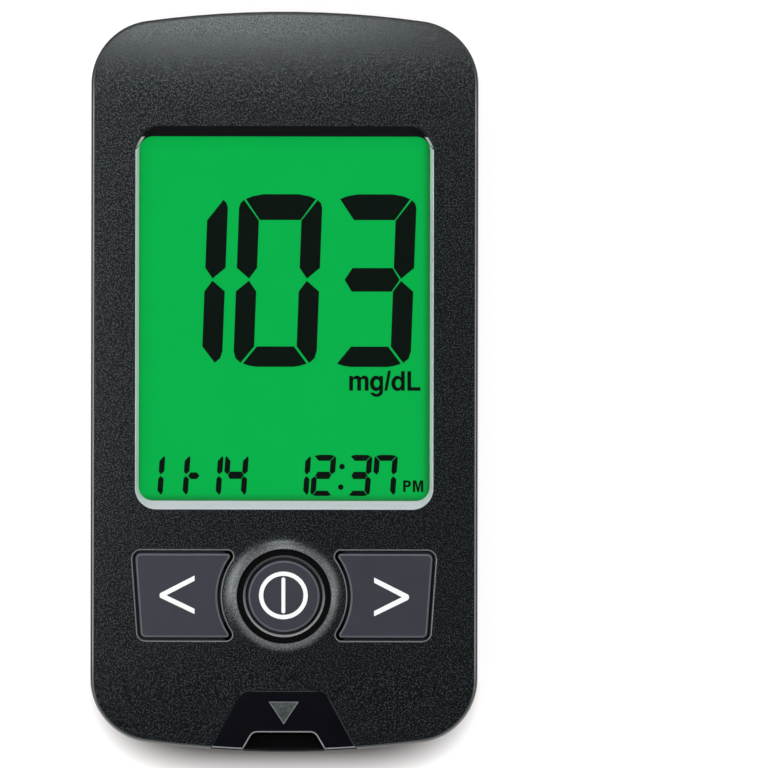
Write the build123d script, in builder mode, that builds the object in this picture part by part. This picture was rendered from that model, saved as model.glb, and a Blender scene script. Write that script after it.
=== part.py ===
"""Handheld blood glucose meter: moulded housing, lit display, three keys, strip port and coin cells."""

import os
from math import asin, degrees, sqrt

from build123d import *

os.makedirs("parts", exist_ok=True)

# Millimetres. +X right and +Y up the face as it is read, +Z out of the display.
# The origin is under the middle of the meter, on the plane that its back lies on.

# Housing
body_width = 53.0
body_length = 101.2
body_thickness = 15.8  # from the back to the crest of the ring round the power key
parting_height = 7.6
end_crown_radius = 138.0  # bow of the two ends in plan
corner_radius = 8.8
corner_cut = 4.6  # of the corners inside the walls and of the board
front_draft = 1.0
back_draft = 2.0
front_edge_bevel = 0.38
back_edge_radius = 3.4
seam_bevel = 0.2  # along the line where the two covers meet
end_slope_length = 12.6  # stretch at each end where the face falls away
end_slope_radius = 150.0
side_wall = 1.8
front_wall = 1.5
back_wall = 1.6
lip_inset = 0.9
lip_height = 0.8
lip_clearance = 0.08
lip_root = 0.4

# Window, measured where the band round it meets the face
window_width = 40.7
window_height = 52.45
window_from_top = 15.6
window_corner = 2.9
window_depth = 0.9
side_band = 0.5
bottom_band = 1.2
hood_band = 1.55
view_corner = 1.9
trim_land = 0.08  # flat left on top of the trim and the hood
trim_clearance = 0.1
mitre_bite = 0.05  # how far the cut between trim and hood runs inside the view's round corner

# Lens and display stack, from the front
tape_thickness = 0.15
tape_setback = 0.15
lens_margin = 1.2
lens_thickness = 1.0
lens_clearance = 0.1
gasket_thickness = 0.5
gasket_setback = 0.3
glass_thickness = 0.9
panel_margin = 1.7
contact_ledge = 2.6
guide_thickness = 1.8
guide_bevel = 0.3
guide_gap = 0.3
lamp_strip = 2.2  # room for the lamps beyond the guide's upper edge
reflector_thickness = 0.2
frame_wall = 1.0
frame_clearance = 0.1
peg_side = 0.9
peg_inset = 6.0
peg_fit = 0.03
connector_clearance = 0.15
lamp_size = (3.2, 1.4, 1.2)
lamp_pitch = 12.0
lamp_count = 3

# Circuit board
board_thickness = 1.2
board_inset = 2.0
board_notch_gap = 0.6
rib_thickness = 1.2  # of the ribs in both covers that clamp the board
rib_hold = 1.5  # how far they reach over the board's edge
rib_root = 0.4  # how far they run into the walls that carry them
rib_gap = 0.05
rib_from_end = 16.0

# Housing screws at the upper end, hooks at the lower end
screw_radius = 1.0
screw_length = 8.0
screw_head = (1.9, 1.4)  # radius, height
screw_seat_height = 4.0
head_clearance = 0.3
screw_from_side = 6.7
screw_from_end = 8.5
hook_x = 14.0
hook_width = 4.0
hook_thickness = 0.9
hook_height = 3.4  # above the parting line
hook_reach = 0.8
hook_gap = 0.12
boss_radius = 2.5
boss_gap = 0.05
screw_fit = 0.03  # radial, shank in its pilot hole
screw_clearance = 0.2  # radial, shank in a plain hole
pilot_spare = 0.6
boss_root = 0.5  # how far a boss or post runs into the wall that carries it

# Keys
key_row_from_bottom = 21.3
key_proud = 0.3
key_gap = 0.42
key_travel = 0.5
key_edge_bevel = 0.25
key_flange = 0.6  # how far a key's flange reaches under the cover, past its opening
key_flange_thickness = 0.85
key_flange_gap = 0.1
side_key_top = 5.8  # above the key row's centre line
side_key_bottom = 5.6
side_key_outer_top = 20.3
side_key_outer_bottom = 19.5
side_key_from_ring = 0.72  # from the foot of the ring to the key's hollow side
side_key_corner = 0.7
side_key_tip = 0.35
power_key_radius = 4.85
dish_width = 1.2  # from the power key's opening out to the ring's sharp edge
dish_depth = 0.3
ring_height = 0.5
ring_flare = 1.93  # from the sharp edge out to the ring's foot, level with the face there
dish_lip_bevel = 0.3
opening_edge_bevel = 0.2

# Switches on the board
switch_side = 6.0
switch_height = 3.0
switch_bevel = 0.5
plunger_side = 2.6
plunger_fit = 0.06
plunger_hold = 1.2  # length of plunger inside its switch

# Strip port
port_top_half = 5.7
port_foot_half = 10.2
port_length = 8.4
port_corner = 2.6
port_clearance = 0.05
port_flange = 1.0
notch_depth = 2.7
notch_top_half = 4.2
notch_foot_half = 5.8
notch_corner = 1.0
notch_edge_bevel = 0.2
notch_wall = 1.2
slot_width = 7.2
slot_height = 1.2
ledge_gap = 0.35
ledge_setback = 0.45
ledge_under_slot = 0.1
strip_level = 0.6  # height of the strip's path above the board
connector_size = (12.4, 9.6, 3.4)
connector_gap = 0.5
connector_slot_depth = 8.2
connector_bevel = 0.5
strip_contact_count = 5
strip_contact_pitch = 1.25
strip_contact_width = 0.6
strip_contact_sheet = 0.2
strip_groove = 0.6
spring_anchor = 2.0  # straight length held in the connector's roof
spring_reach = 5.3  # from the back of the slot to the spring's nose
spring_dip = 0.4  # height of the spring's low point above the slot's floor
spring_nose_lift = 0.3

# Coin cells and their bay
cell_radius = 10.0
cell_height = 3.2
cell_spacing = 0.6  # between the two cells
cell_clearance = 0.25
bay_from_top = 36.6  # centre of the bay, from the top end
bay_wall = 1.2
bay_ceiling = 1.0
bay_headroom = 0.6
contact_sheet = 0.2
contact_width = 3.2
contact_slot_clearance = 0.15
contact_recess = 0.7
contact_touch = 0.02
leaf_reach = 5.5  # from a cell's axis to the leg of the leaf that presses on it
leaf_span = 8.0

# Battery door
door_recess = 0.2
door_thickness = 1.4
door_gap = 0.15
door_margin = 0.9  # door past the pocket, on each long side
door_latch_margin = 2.6
door_hinge_margin = 2.4
door_corner = 1.2
door_seat_gap = 0.1
door_to_cell = 0.2
barrel_radius = 0.9
lug_radius = 0.6
lug_length = 1.0
lug_fit = 0.05
bay_rim = 1.1  # thickness of the rim plate that frames the door
bay_rim_reach = 1.7
tab_width = 8.0
tab_thickness = 0.9
tab_height = 2.2
nib_reach = 0.3
tab_clearance = 0.35
scoop_radius = 9.0
scoop_depth = 0.7
grip_count = 4
grip_pitch = 1.5
grip_width = 0.6
grip_depth = 0.3

# Parts on the underside of the board: centre from the middle of the key row, then size
buzzer_radius = 4.5
buzzer_height = 3.2
buzzer_place = (15.0, 12.0)
chip_bevel = 0.2
controller_size = (10.0, 10.0, 1.2)
controller_place = (-9.0, 14.5)
measuring_size = (6.4, 5.0, 1.1)
measuring_place = (2.0, -3.0)
crystal_radius = 1.0
crystal_length = 6.0
crystal_place = (-17.5, 4.0)
capacitor_size = (3.2, 1.6, 1.3)
capacitor_count = 4
capacitor_pitch = 3.0
capacitor_place = (11.5, -2.5)

# Levels and places that follow from the sizes above
face_height = body_thickness - ring_height
face_under = face_height - front_wall
window_floor = face_height - window_depth
lens_top = window_floor - tape_thickness
lens_under = lens_top - lens_thickness
panel_top = lens_under - gasket_thickness
panel_step = panel_top - glass_thickness
panel_under = panel_step - glass_thickness
guide_under = panel_under - guide_thickness
board_top = guide_under - reflector_thickness
board_under = board_top - board_thickness
window_y = body_length / 2 - window_from_top - window_height / 2
view_width = window_width - 2 * side_band
view_height = window_height - bottom_band - hood_band
view_y = window_y + (bottom_band - hood_band) / 2
panel_width = view_width + 2 * panel_margin
panel_height = view_height + 2 * panel_margin
key_y = -body_length / 2 + key_row_from_bottom
power_axis = Axis((0, key_y, 0), (0, 0, 1))
power_bore = power_key_radius + key_gap
ring_edge_radius = power_bore + dish_width
ring_foot_radius = ring_edge_radius + ring_flare
side_key_hollow = ring_foot_radius + side_key_from_ring
key_top = face_height + key_proud
flange_top = face_under - key_flange_gap
flange_under = flange_top - key_flange_thickness
side_key_x = (side_key_outer_top + side_key_hollow) / 2
board_end = -body_length / 2 + notch_depth + notch_wall + connector_gap
slot_under = board_top + strip_level
bay_y = body_length / 2 - bay_from_top
cell_pitch = 2 * cell_radius + cell_spacing
pocket_radius = cell_radius + cell_clearance
cell_under = door_recess + door_thickness + door_to_cell
cell_top = cell_under + cell_height
ceiling_under = cell_top + bay_headroom
ceiling_top = ceiling_under + bay_ceiling
door_top = door_recess + door_thickness
door_half = cell_pitch / 2 + pocket_radius + door_margin
rim_under = door_top + door_seat_gap
hinge_y = bay_y + pocket_radius + door_hinge_margin
hinge_z = door_recess + barrel_radius
latch_y = bay_y - pocket_radius - door_latch_margin
leaf_leg = cell_pitch / 2 - leaf_reach
screw_x = body_width / 2 - screw_from_side
screw_y = body_length / 2 - screw_from_end
screw_points = [(-screw_x, screw_y), (screw_x, screw_y)]


def body_plan(inset=0.0, cut_corners=False):
    """Plan of the housing, drawn in by inset: straight sides, bowed ends, round or cut corners."""
    half_width = body_width / 2 - inset
    half_length = body_length / 2 - inset
    bow_radius = end_crown_radius - inset
    shoulder = half_length - bow_radius + sqrt(bow_radius**2 - half_width**2)
    with BuildSketch(Plane.XY, mode=Mode.PRIVATE) as plan:
        with BuildLine():
            top = ThreePointArc((half_width, shoulder), (0, half_length), (-half_width, shoulder))
            low = ThreePointArc((-half_width, -shoulder), (0, -half_length), (half_width, -shoulder))
            Line(top @ 1, low @ 0)
            Line(low @ 1, top @ 0)
        make_face()
        if cut_corners:
            chamfer(plan.vertices(), corner_cut)
        else:
            fillet(plan.vertices(), corner_radius - inset)
    return plan.sketch


def window_plan(grow=0.0):
    """Plan of the window where it meets the face, grown all round."""
    with BuildSketch(Plane.XY, mode=Mode.PRIVATE) as plan:
        with Locations((0, window_y)):
            RectangleRounded(window_width + 2 * grow, window_height + 2 * grow, window_corner + grow)
    return plan.sketch


def view_plan(grow=0.0):
    """Plan of the part of the display that is seen, grown all round."""
    with BuildSketch(Plane.XY, mode=Mode.PRIVATE) as plan:
        with Locations((0, view_y)):
            RectangleRounded(view_width + 2 * grow, view_height + 2 * grow, view_corner + grow)
    return plan.sketch


def lens_plan(grow=0.0):
    """Plan of the lens, grown all round."""
    margin = lens_margin + grow
    with BuildSketch(Plane.XY, mode=Mode.PRIVATE) as plan:
        with Locations((0, window_y)):
            Rectangle(window_width + 2 * margin, window_height + 2 * margin)
    return plan.sketch


def side_key_plan(grow=0.0):
    """Plan of the left key: three nearly straight sides and one hollowed round the power key."""
    top = key_y + side_key_top
    low = key_y - side_key_bottom
    top_tip = -sqrt(side_key_hollow**2 - side_key_top**2)
    low_tip = -sqrt(side_key_hollow**2 - side_key_bottom**2)
    with BuildSketch(Plane.XY, mode=Mode.PRIVATE) as plan:
        with BuildLine():
            outer = ((-side_key_outer_top, top), (-side_key_outer_bottom, low))
            Polyline((top_tip, top), *outer, (low_tip, low))
            ThreePointArc((low_tip, low), (-side_key_hollow, key_y), (top_tip, top))
        make_face()
        corners = plan.vertices().sort_by(Axis.X)
        fillet(corners[:2], side_key_corner)
        fillet(plan.vertices().sort_by(Axis.X)[-2:], side_key_tip)
        if grow:
            offset(amount=grow)
    return plan.sketch


def port_plan(grow=0.0):
    """Plan of the strip port insert: a trapezoid that widens to the lower end and runs past it."""
    end = -body_length / 2
    slope = (port_foot_half - port_top_half) / port_length
    run_out = port_foot_half + slope * corner_radius
    with BuildSketch(Plane.XY, mode=Mode.PRIVATE) as plan:
        with BuildLine():
            Polyline(
                (port_top_half, end + port_length),
                (-port_top_half, end + port_length),
                (-run_out, end - corner_radius),
                (run_out, end - corner_radius),
                close=True,
            )
        make_face()
        fillet(plan.vertices().group_by(Axis.Y)[-1], port_corner)
        if grow:
            offset(amount=grow)
    return plan.sketch


def notch_plan(grow=0.0):
    """Plan of the notch that leads a strip to its slot, run out past the lower end."""
    end = -body_length / 2
    slope = (notch_foot_half - notch_top_half) / notch_depth
    run_out = notch_foot_half + slope * notch_depth
    with BuildSketch(Plane.XY, mode=Mode.PRIVATE) as plan:
        with BuildLine():
            Polyline(
                (notch_top_half, end + notch_depth),
                (-notch_top_half, end + notch_depth),
                (-run_out, end - notch_depth),
                (run_out, end - notch_depth),
                close=True,
            )
        make_face()
        fillet(plan.vertices().group_by(Axis.Y)[-1], notch_corner)
        if grow:
            offset(amount=grow)
    return plan.sketch


def pocket_plan(grow=0.0):
    """Plan of the coin cell pocket: a round-ended slot about the two cells."""
    with BuildSketch(Plane.XY, mode=Mode.PRIVATE) as plan:
        with Locations((0, bay_y)):
            SlotCenterToCenter(cell_pitch, 2 * (pocket_radius + grow))
    return plan.sketch


def door_plan(grow=0.0, reach=0.0):
    """Plan of the door from its latch edge to its hinge line, grown all round and past the hinge."""
    low = latch_y - grow
    high = hinge_y + reach
    with BuildSketch(Plane.XY, mode=Mode.PRIVATE) as plan:
        with Locations((0, (low + high) / 2)):
            Rectangle(2 * (door_half + grow), high - low)
        fillet(plan.vertices().group_by(Axis.Y)[0], door_corner + grow)
    return plan.sketch


def rib_plan():
    """Plan of the four ribs, from the side walls in over the board's edges."""
    rib_y = body_length / 2 - rib_from_end
    rib_x = body_width / 2 - side_wall + rib_root
    reach = rib_x - body_width / 2 + board_inset + rib_hold
    with BuildSketch(Plane.XY, mode=Mode.PRIVATE) as plan:
        for side, align in ((-1, Align.MIN), (1, Align.MAX)):
            with Locations((side * rib_x, -rib_y), (side * rib_x, rib_y)):
                Rectangle(reach, rib_thickness, align=(align, Align.CENTER))
    return plan.sketch


def hook_plan(grow=0.0, reach=0.0):
    """Plan of the two hooks, which stand just inside the bowed wall of the lower end."""
    bow_radius = end_crown_radius - side_wall
    bow = bow_radius - sqrt(bow_radius**2 - (hook_x + hook_width / 2) ** 2)
    outer = -body_length / 2 + side_wall + bow + hook_gap
    with BuildSketch(Plane.XY, mode=Mode.PRIVATE) as plan:
        with Locations((-hook_x, outer - reach), (hook_x, outer - reach)):
            depth = hook_thickness + reach
            Rectangle(hook_width + 2 * grow, depth, align=(Align.CENTER, Align.MIN))
    return plan.sketch


def outer_edges(faces):
    """The edges round a run of faces: those that only one of the faces holds."""
    edges = [edge for face in faces for edge in face.edges()]
    return [edge for edge in edges if sum(edge.is_same(other) for other in edges) == 1]


# Outer form of the front half: drafted sides, a level face that falls away at the two ends, a soft rim
slope_run = end_slope_length + front_wall
slope_angle = degrees(asin(slope_run / end_slope_radius))
level_half = body_length / 2 - end_slope_length
with BuildPart() as front_form:
    with BuildSketch(Plane.XY.offset(parting_height)):
        add(body_plan())
    extrude(amount=face_height - parting_height, taper=front_draft)
    with BuildSketch(Plane.YZ):
        with BuildLine():
            upper = JernArc((level_half, face_height), (1, 0), end_slope_radius, -slope_angle)
            lower = JernArc((-level_half, face_height), (-1, 0), end_slope_radius, slope_angle)
            Line(lower @ 0, upper @ 0)
            Polyline(upper @ 1, (level_half + slope_run, 0), (-level_half - slope_run, 0), lower @ 1)
        make_face()
    extrude(amount=body_width, both=True, mode=Mode.INTERSECT)
    face_run = front_form.faces().filter_by(lambda face: face.normal_at().Z > 0.9)
    chamfer(outer_edges(face_run), front_edge_bevel)
    chamfer(front_form.edges().group_by(Axis.Z)[0], seam_bevel)

# The front half hollowed out, with a rebate round its rim for the rear cover's lip
rebate_height = lip_height + lip_clearance
with BuildPart() as front_shell:
    add(front_form.part)
    with BuildSketch(Plane.XY.offset(parting_height)):
        add(body_plan(side_wall, cut_corners=True))
    extrude(amount=face_under - parting_height, mode=Mode.SUBTRACT)
    with BuildSketch(Plane.XY.offset(parting_height)):
        add(body_plan(lip_inset - lip_clearance))
    extrude(amount=rebate_height, mode=Mode.SUBTRACT)

# Band that slopes from the face down to the view: silver trim on three sides, the cover's hood on top
with BuildPart() as window_funnel:
    with BuildSketch(Plane.XY.offset(window_floor)):
        add(view_plan())
    with BuildSketch(Plane.XY.offset(face_height)):
        add(window_plan(-trim_land))
    loft()

corner_reach = (view_corner - mitre_bite) / sqrt(2)
mitre_x = view_width / 2 - view_corner + corner_reach
mitre_y = view_y + view_height / 2 - view_corner + corner_reach
with BuildSketch(Plane.XY.offset(window_floor)) as hood_region:
    with BuildLine():
        window_top = window_y + window_height / 2
        Polyline(
            (-body_width / 2, mitre_y + mitre_x - body_width / 2),
            (-mitre_x, mitre_y),
            (mitre_x, mitre_y),
            (body_width / 2, mitre_y + mitre_x - body_width / 2),
            (body_width / 2, window_top + window_corner),
            (-body_width / 2, window_top + window_corner),
            close=True,
        )
    make_face()

with BuildPart() as window_hood:
    with BuildSketch(Plane.XY.offset(window_floor)):
        add(window_plan(trim_clearance))
    extrude(amount=window_depth)
    add(window_funnel.part, mode=Mode.SUBTRACT)
    extrude(hood_region.sketch, amount=window_depth, mode=Mode.INTERSECT)

with BuildPart() as window_trim:
    with BuildSketch(Plane.XY.offset(window_floor)):
        add(window_plan())
    extrude(amount=window_depth)
    add(window_funnel.part, mode=Mode.SUBTRACT)
    extrude(offset(hood_region.sketch, trim_clearance), amount=window_depth, mode=Mode.SUBTRACT)
window_trim.part.label = "window_trim"
export_step(window_trim.part, "parts/window_trim.step")

# Front cover
with BuildPart() as front_cover:
    add(front_shell.part)
    # place for the strip port insert
    with BuildSketch(Plane.XY.offset(parting_height)):
        add(port_plan(port_clearance))
    extrude(amount=body_thickness, mode=Mode.SUBTRACT)
    # window, with a bed for the lens behind it
    with BuildSketch(Plane.XY.offset(face_under)):
        add(lens_plan(lens_clearance))
    extrude(amount=window_floor - face_under, mode=Mode.SUBTRACT)
    with BuildSketch(Plane.XY.offset(window_floor)):
        add(window_plan(trim_clearance))
    extrude(amount=window_depth, mode=Mode.SUBTRACT)
    add(window_hood.part)
    # raised ring and dish round the power key
    with BuildSketch(Plane.XY.offset(face_under)):
        with Locations((0, key_y)):
            Circle(ring_edge_radius)
    extrude(amount=front_wall, mode=Mode.SUBTRACT)
    with BuildSketch(Plane.XZ.offset(-key_y)) as ring_section:
        ring_edge = (ring_edge_radius, face_height + ring_height)
        with BuildLine():
            TangentArc((ring_foot_radius, face_height), ring_edge, tangent=(-1, 0))
            Polyline(
                ring_edge,
                (ring_edge_radius, face_height - dish_depth),
                (power_bore, face_height - dish_depth),
                (power_bore, face_under),
                (ring_foot_radius, face_under),
                (ring_foot_radius, face_height),
            )
        make_face()
        dish_lip = ring_section.vertices().sort_by_distance((power_bore, face_height - dish_depth))
        chamfer(dish_lip[0], dish_lip_bevel)
    revolve(axis=power_axis)
    # side key openings with softened edges
    with BuildSketch(Plane.XY.offset(face_under)) as side_openings:
        add(side_key_plan(key_gap))
        mirror(about=Plane.YZ)
    extrude(amount=front_wall, mode=Mode.SUBTRACT)
    opening_edges = front_cover.edges().filter_by_position(Axis.Z, face_height, face_height)
    opening_span = (key_y - ring_foot_radius, key_y + ring_foot_radius)
    opening_edges = opening_edges.filter_by_position(Axis.Y, *opening_span)
    opening_edges = opening_edges.filter_by(lambda edge: abs(edge.center().X) > power_key_radius)
    opening_edges = opening_edges.filter_by(lambda edge: abs(edge.center().X) < body_width / 2 - side_wall)
    chamfer(opening_edges, opening_edge_bevel)
    # pockets that the hooks catch in
    with BuildSketch(Plane.XY.offset(parting_height + hook_height - 2 * hook_reach - hook_gap)):
        add(hook_plan(hook_gap, hook_reach + hook_gap))
    extrude(amount=hook_reach + 2 * hook_gap, mode=Mode.SUBTRACT)
    # bosses for the housing screws and ribs over the board's edges
    with BuildSketch(Plane.XY.offset(parting_height)):
        with Locations(*screw_points):
            Circle(boss_radius)
    extrude(amount=face_under - parting_height + boss_root)
    with BuildSketch(Plane.XY.offset(board_top + rib_gap)):
        add(rib_plan())
    extrude(amount=face_under - board_top - rib_gap + boss_root)
    with BuildSketch(Plane.XY.offset(parting_height)):
        with Locations(*screw_points):
            Circle(screw_radius + screw_fit)
    extrude(amount=screw_seat_height + screw_length - parting_height + pilot_spare, mode=Mode.SUBTRACT)
front_cover.part.label = "front_cover"
export_step(front_cover.part, "parts/front_cover.step")

# Strip port insert: its share of the front shell, a glued flange, and walls that lead to the slot
with BuildPart() as strip_port_insert:
    add(front_shell.part)
    with BuildSketch(Plane.XY.offset(parting_height)):
        add(port_plan())
    extrude(amount=body_thickness, mode=Mode.INTERSECT)
    with BuildSketch(Plane.XY.offset(face_under - port_flange)):
        add(port_plan(port_flange))
        add(body_plan(side_wall + port_flange), mode=Mode.INTERSECT)
    extrude(amount=port_flange)
    with BuildSketch(Plane.XY.offset(parting_height + rebate_height)):
        add(notch_plan(notch_wall))
        add(body_plan(lip_inset), mode=Mode.INTERSECT)
    extrude(amount=face_under - parting_height - rebate_height)
    with BuildSketch(Plane.XY.offset(parting_height)):
        add(notch_plan())
    extrude(amount=body_thickness, mode=Mode.SUBTRACT)
    notch_edges = strip_port_insert.edges().filter_by(lambda edge: edge.center().Z > face_under)
    notch_edges = notch_edges.filter_by_position(Axis.X, -notch_foot_half, notch_foot_half)
    notch_end = -body_length / 2 + notch_depth
    chamfer(notch_edges.filter_by_position(Axis.Y, -body_length / 2, notch_end), notch_edge_bevel)
    with BuildSketch(Plane.XZ.offset(body_length / 2 - notch_depth - 2 * notch_wall)):
        with Locations((0, slot_under + slot_height / 2)):
            Rectangle(slot_width, slot_height)
    extrude(amount=2 * notch_wall, mode=Mode.SUBTRACT)
strip_port_insert.part.label = "strip_port_insert"
export_step(strip_port_insert.part, "parts/strip_port_insert.step")

# Rear cover: drafted tray with a soft back edge, a lip, screw bosses, and the bay for the cells
with BuildPart() as rear_form:
    with BuildSketch(Plane.XY.offset(parting_height)):
        add(body_plan())
    extrude(amount=-parting_height, taper=back_draft)
    fillet(rear_form.faces().sort_by(Axis.Z)[0].edges(), back_edge_radius)
    chamfer(rear_form.edges().group_by(Axis.Z)[-1], seam_bevel)

contact_xs = (-cell_pitch / 2, cell_pitch / 2)
recess_low = bay_y + cell_radius
recess_high = bay_y + pocket_radius + contact_recess
contact_y = (recess_low + recess_high) / 2
contact_way = (contact_width + 2 * contact_slot_clearance, recess_high - recess_low)
with BuildPart() as rear_cover:
    add(rear_form.part)
    with BuildSketch(Plane.XY.offset(parting_height)):
        add(body_plan(side_wall, cut_corners=True))
    extrude(amount=back_wall - parting_height, mode=Mode.SUBTRACT)
    with BuildSketch(Plane.XY.offset(parting_height - lip_root)):
        add(body_plan(lip_inset))
        add(body_plan(side_wall, cut_corners=True), mode=Mode.SUBTRACT)
    extrude(amount=lip_root + lip_height)
    # ledge that carries the strip through the notch
    with BuildSketch(Plane.XY.offset(parting_height - lip_root)):
        add(notch_plan(-ledge_gap))
        add(body_plan(ledge_setback), mode=Mode.INTERSECT)
    extrude(amount=slot_under - ledge_under_slot - parting_height + lip_root)
    # rim plate and walls of the bay
    with BuildSketch(Plane.XY.offset(back_wall / 2)):
        add(door_plan(bay_rim_reach, barrel_radius + bay_rim_reach))
    extrude(amount=rim_under + bay_rim - back_wall / 2)
    with BuildSketch(Plane.XY.offset(rim_under)):
        with Locations((0, bay_y)):
            box_reach = 2 * (pocket_radius + bay_wall)
            Rectangle(cell_pitch + box_reach, box_reach)
    extrude(amount=ceiling_top - rim_under)
    with BuildSketch(Plane.XY.offset(door_recess)):
        add(pocket_plan())
        with Locations(*[(x, contact_y) for x in contact_xs]):
            Rectangle(*contact_way)
    extrude(amount=ceiling_under - door_recess, mode=Mode.SUBTRACT)
    # way for the door, its barrel, its lugs and its tab
    with BuildSketch():
        add(door_plan(door_gap, barrel_radius + door_gap))
    extrude(amount=hinge_z, mode=Mode.SUBTRACT)
    with BuildSketch():
        add(door_plan(door_gap))
    extrude(amount=rim_under, mode=Mode.SUBTRACT)
    with BuildSketch(Plane.YZ.offset(-door_half - door_gap)):
        with Locations((hinge_y, hinge_z)):
            Circle(barrel_radius + door_gap)
    extrude(amount=2 * (door_half + door_gap), mode=Mode.SUBTRACT)
    with BuildSketch(Plane.YZ.offset(-door_half - lug_length - door_gap)):
        with Locations((hinge_y, hinge_z)):
            Circle(lug_radius + lug_fit)
    extrude(amount=2 * (door_half + lug_length + door_gap), mode=Mode.SUBTRACT)
    tab_way = tab_thickness + nib_reach + 2 * tab_clearance
    with BuildSketch(Plane.XY.offset(door_recess)):
        with Locations((0, latch_y - nib_reach - tab_clearance)):
            Rectangle(tab_width + 2 * tab_clearance, tab_way, align=(Align.CENTER, Align.MIN))
    extrude(amount=body_thickness, mode=Mode.SUBTRACT)
    # slots through the bay's ceiling for the four contacts
    with BuildSketch(Plane.XY.offset(ceiling_under)):
        with Locations(*[(x, contact_y) for x in contact_xs]):
            Rectangle(*contact_way)
        with Locations((-leaf_leg, bay_y), (leaf_leg, bay_y)):
            Rectangle(contact_sheet + 2 * contact_slot_clearance, contact_way[0])
    extrude(amount=bay_ceiling, mode=Mode.SUBTRACT)
    # hooks with a sloped nose that catches under the front cover's wall
    with BuildSketch(Plane.XY.offset(back_wall / 2)):
        add(hook_plan())
    extrude(amount=parting_height + hook_height - back_wall / 2)
    with BuildSketch(Plane.XY.offset(parting_height + hook_height - 2 * hook_reach)):
        add(hook_plan(reach=hook_reach))
    extrude(amount=hook_reach)
    # ribs under the board's edges
    with BuildSketch(Plane.XY.offset(back_wall - rib_root)):
        add(rib_plan())
    extrude(amount=board_under - rib_gap - back_wall + rib_root)
    # bosses, screw ways and counterbores
    with BuildSketch(Plane.XY.offset(back_wall / 2)):
        with Locations(*screw_points):
            Circle(boss_radius + head_clearance)
    extrude(amount=parting_height - boss_gap - back_wall / 2)
    with BuildSketch():
        with Locations(*screw_points):
            Circle(screw_radius + screw_clearance)
    extrude(amount=parting_height, mode=Mode.SUBTRACT)
    with BuildSketch():
        with Locations(*screw_points):
            Circle(screw_head[0] + head_clearance)
    extrude(amount=screw_seat_height, mode=Mode.SUBTRACT)
    # thumb scoop at the latch
    with Locations((0, latch_y - door_gap, scoop_depth - scoop_radius)):
        Sphere(scoop_radius, mode=Mode.SUBTRACT)
rear_cover.part.label = "rear_cover"
export_step(rear_cover.part, "parts/rear_cover.step")

# Battery door: plate, hinge barrel and lugs, snap tab, finger grips
with BuildPart() as battery_door:
    with BuildSketch(Plane.XY.offset(door_recess)):
        add(door_plan())
    extrude(amount=door_thickness)
    with BuildSketch(Plane.YZ.offset(-door_half)):
        with Locations((hinge_y, hinge_z)):
            Circle(barrel_radius)
    extrude(amount=2 * door_half)
    with BuildSketch(Plane.YZ.offset(-door_half - lug_length)):
        with Locations((hinge_y, hinge_z)):
            Circle(lug_radius)
    extrude(amount=2 * (door_half + lug_length))
    with BuildSketch(Plane.YZ.offset(-tab_width / 2)):
        with BuildLine():
            Polyline(
                (latch_y, door_top - door_thickness / 2),
                (latch_y + tab_thickness, door_top - door_thickness / 2),
                (latch_y + tab_thickness, door_top + tab_height),
                (latch_y, door_top + tab_height),
                (latch_y - nib_reach, door_top + tab_height - nib_reach),
                (latch_y - nib_reach, door_top + tab_height - 2 * nib_reach),
                (latch_y, door_top + tab_height - 3 * nib_reach),
                close=True,
            )
        make_face()
    extrude(amount=tab_width)
    with BuildSketch(Plane.XY.offset(door_recess)):
        grips_y = latch_y + tab_thickness + grip_count * grip_pitch / 2
        with Locations((0, grips_y)):
            with GridLocations(0, grip_pitch, 1, grip_count):
                Rectangle(2 * tab_width, grip_width)
    extrude(amount=grip_depth, mode=Mode.SUBTRACT)
battery_door.part.label = "battery_door"
export_step(battery_door.part, "parts/battery_door.step")

# Coin cells
for side, name in ((-1, "battery_left"), (1, "battery_right")):
    with BuildPart() as cell:
        with BuildSketch(Plane.XY.offset(cell_under)):
            with Locations((side * cell_pitch / 2, bay_y)):
                Circle(cell_radius)
        extrude(amount=cell_height)
    cell.part.label = name
    export_step(cell.part, f"parts/{name}.step")

# Battery contacts: leaves that press on the cells from above, and bowed strips that touch their sides
with BuildPart() as negative_contacts:
    with BuildSketch(Plane.XZ.offset(-bay_y)):
        leaf_level = ceiling_under - contact_sheet / 2
        leaf_low = cell_top + contact_touch + contact_sheet / 2
        leaf_start = cell_pitch / 2 - leaf_span / 2
        leaf_end = cell_pitch / 2 + leaf_span / 2
        with BuildLine() as leaf_line:
            Polyline(
                (leaf_leg, board_under),
                (leaf_leg, leaf_level),
                (leaf_start, leaf_level),
                (cell_pitch / 2, leaf_low),
                (leaf_end, leaf_level),
            )
        trace(leaf_line.edges(), contact_sheet)
        mirror(about=Plane.YZ)
    extrude(amount=contact_width / 2, both=True)
    split(bisect_by=Plane.XY.offset(board_under), keep=Keep.BOTTOM)
negative_contacts.part.label = "negative_contacts"
export_step(negative_contacts.part, "parts/negative_contacts.step")

with BuildPart() as positive_contacts:
    with BuildSketch(Plane.YZ) as strip:
        strip_y = recess_high - contact_slot_clearance - contact_sheet / 2
        touch_y = bay_y + cell_radius + contact_touch + contact_sheet / 2
        with BuildLine() as strip_line:
            Polyline(
                (strip_y, board_under),
                (strip_y, cell_top),
                (touch_y, cell_under + cell_height / 2),
                (strip_y, cell_under),
            )
        trace(strip_line.edges(), contact_sheet)
    for x in contact_xs:
        extrude(Plane.YZ.offset(x) * strip.sketch_local, amount=contact_width / 2, both=True)
    split(bisect_by=Plane.XY.offset(board_under), keep=Keep.BOTTOM)
positive_contacts.part.label = "positive_contacts"
export_step(positive_contacts.part, "parts/positive_contacts.step")

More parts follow.
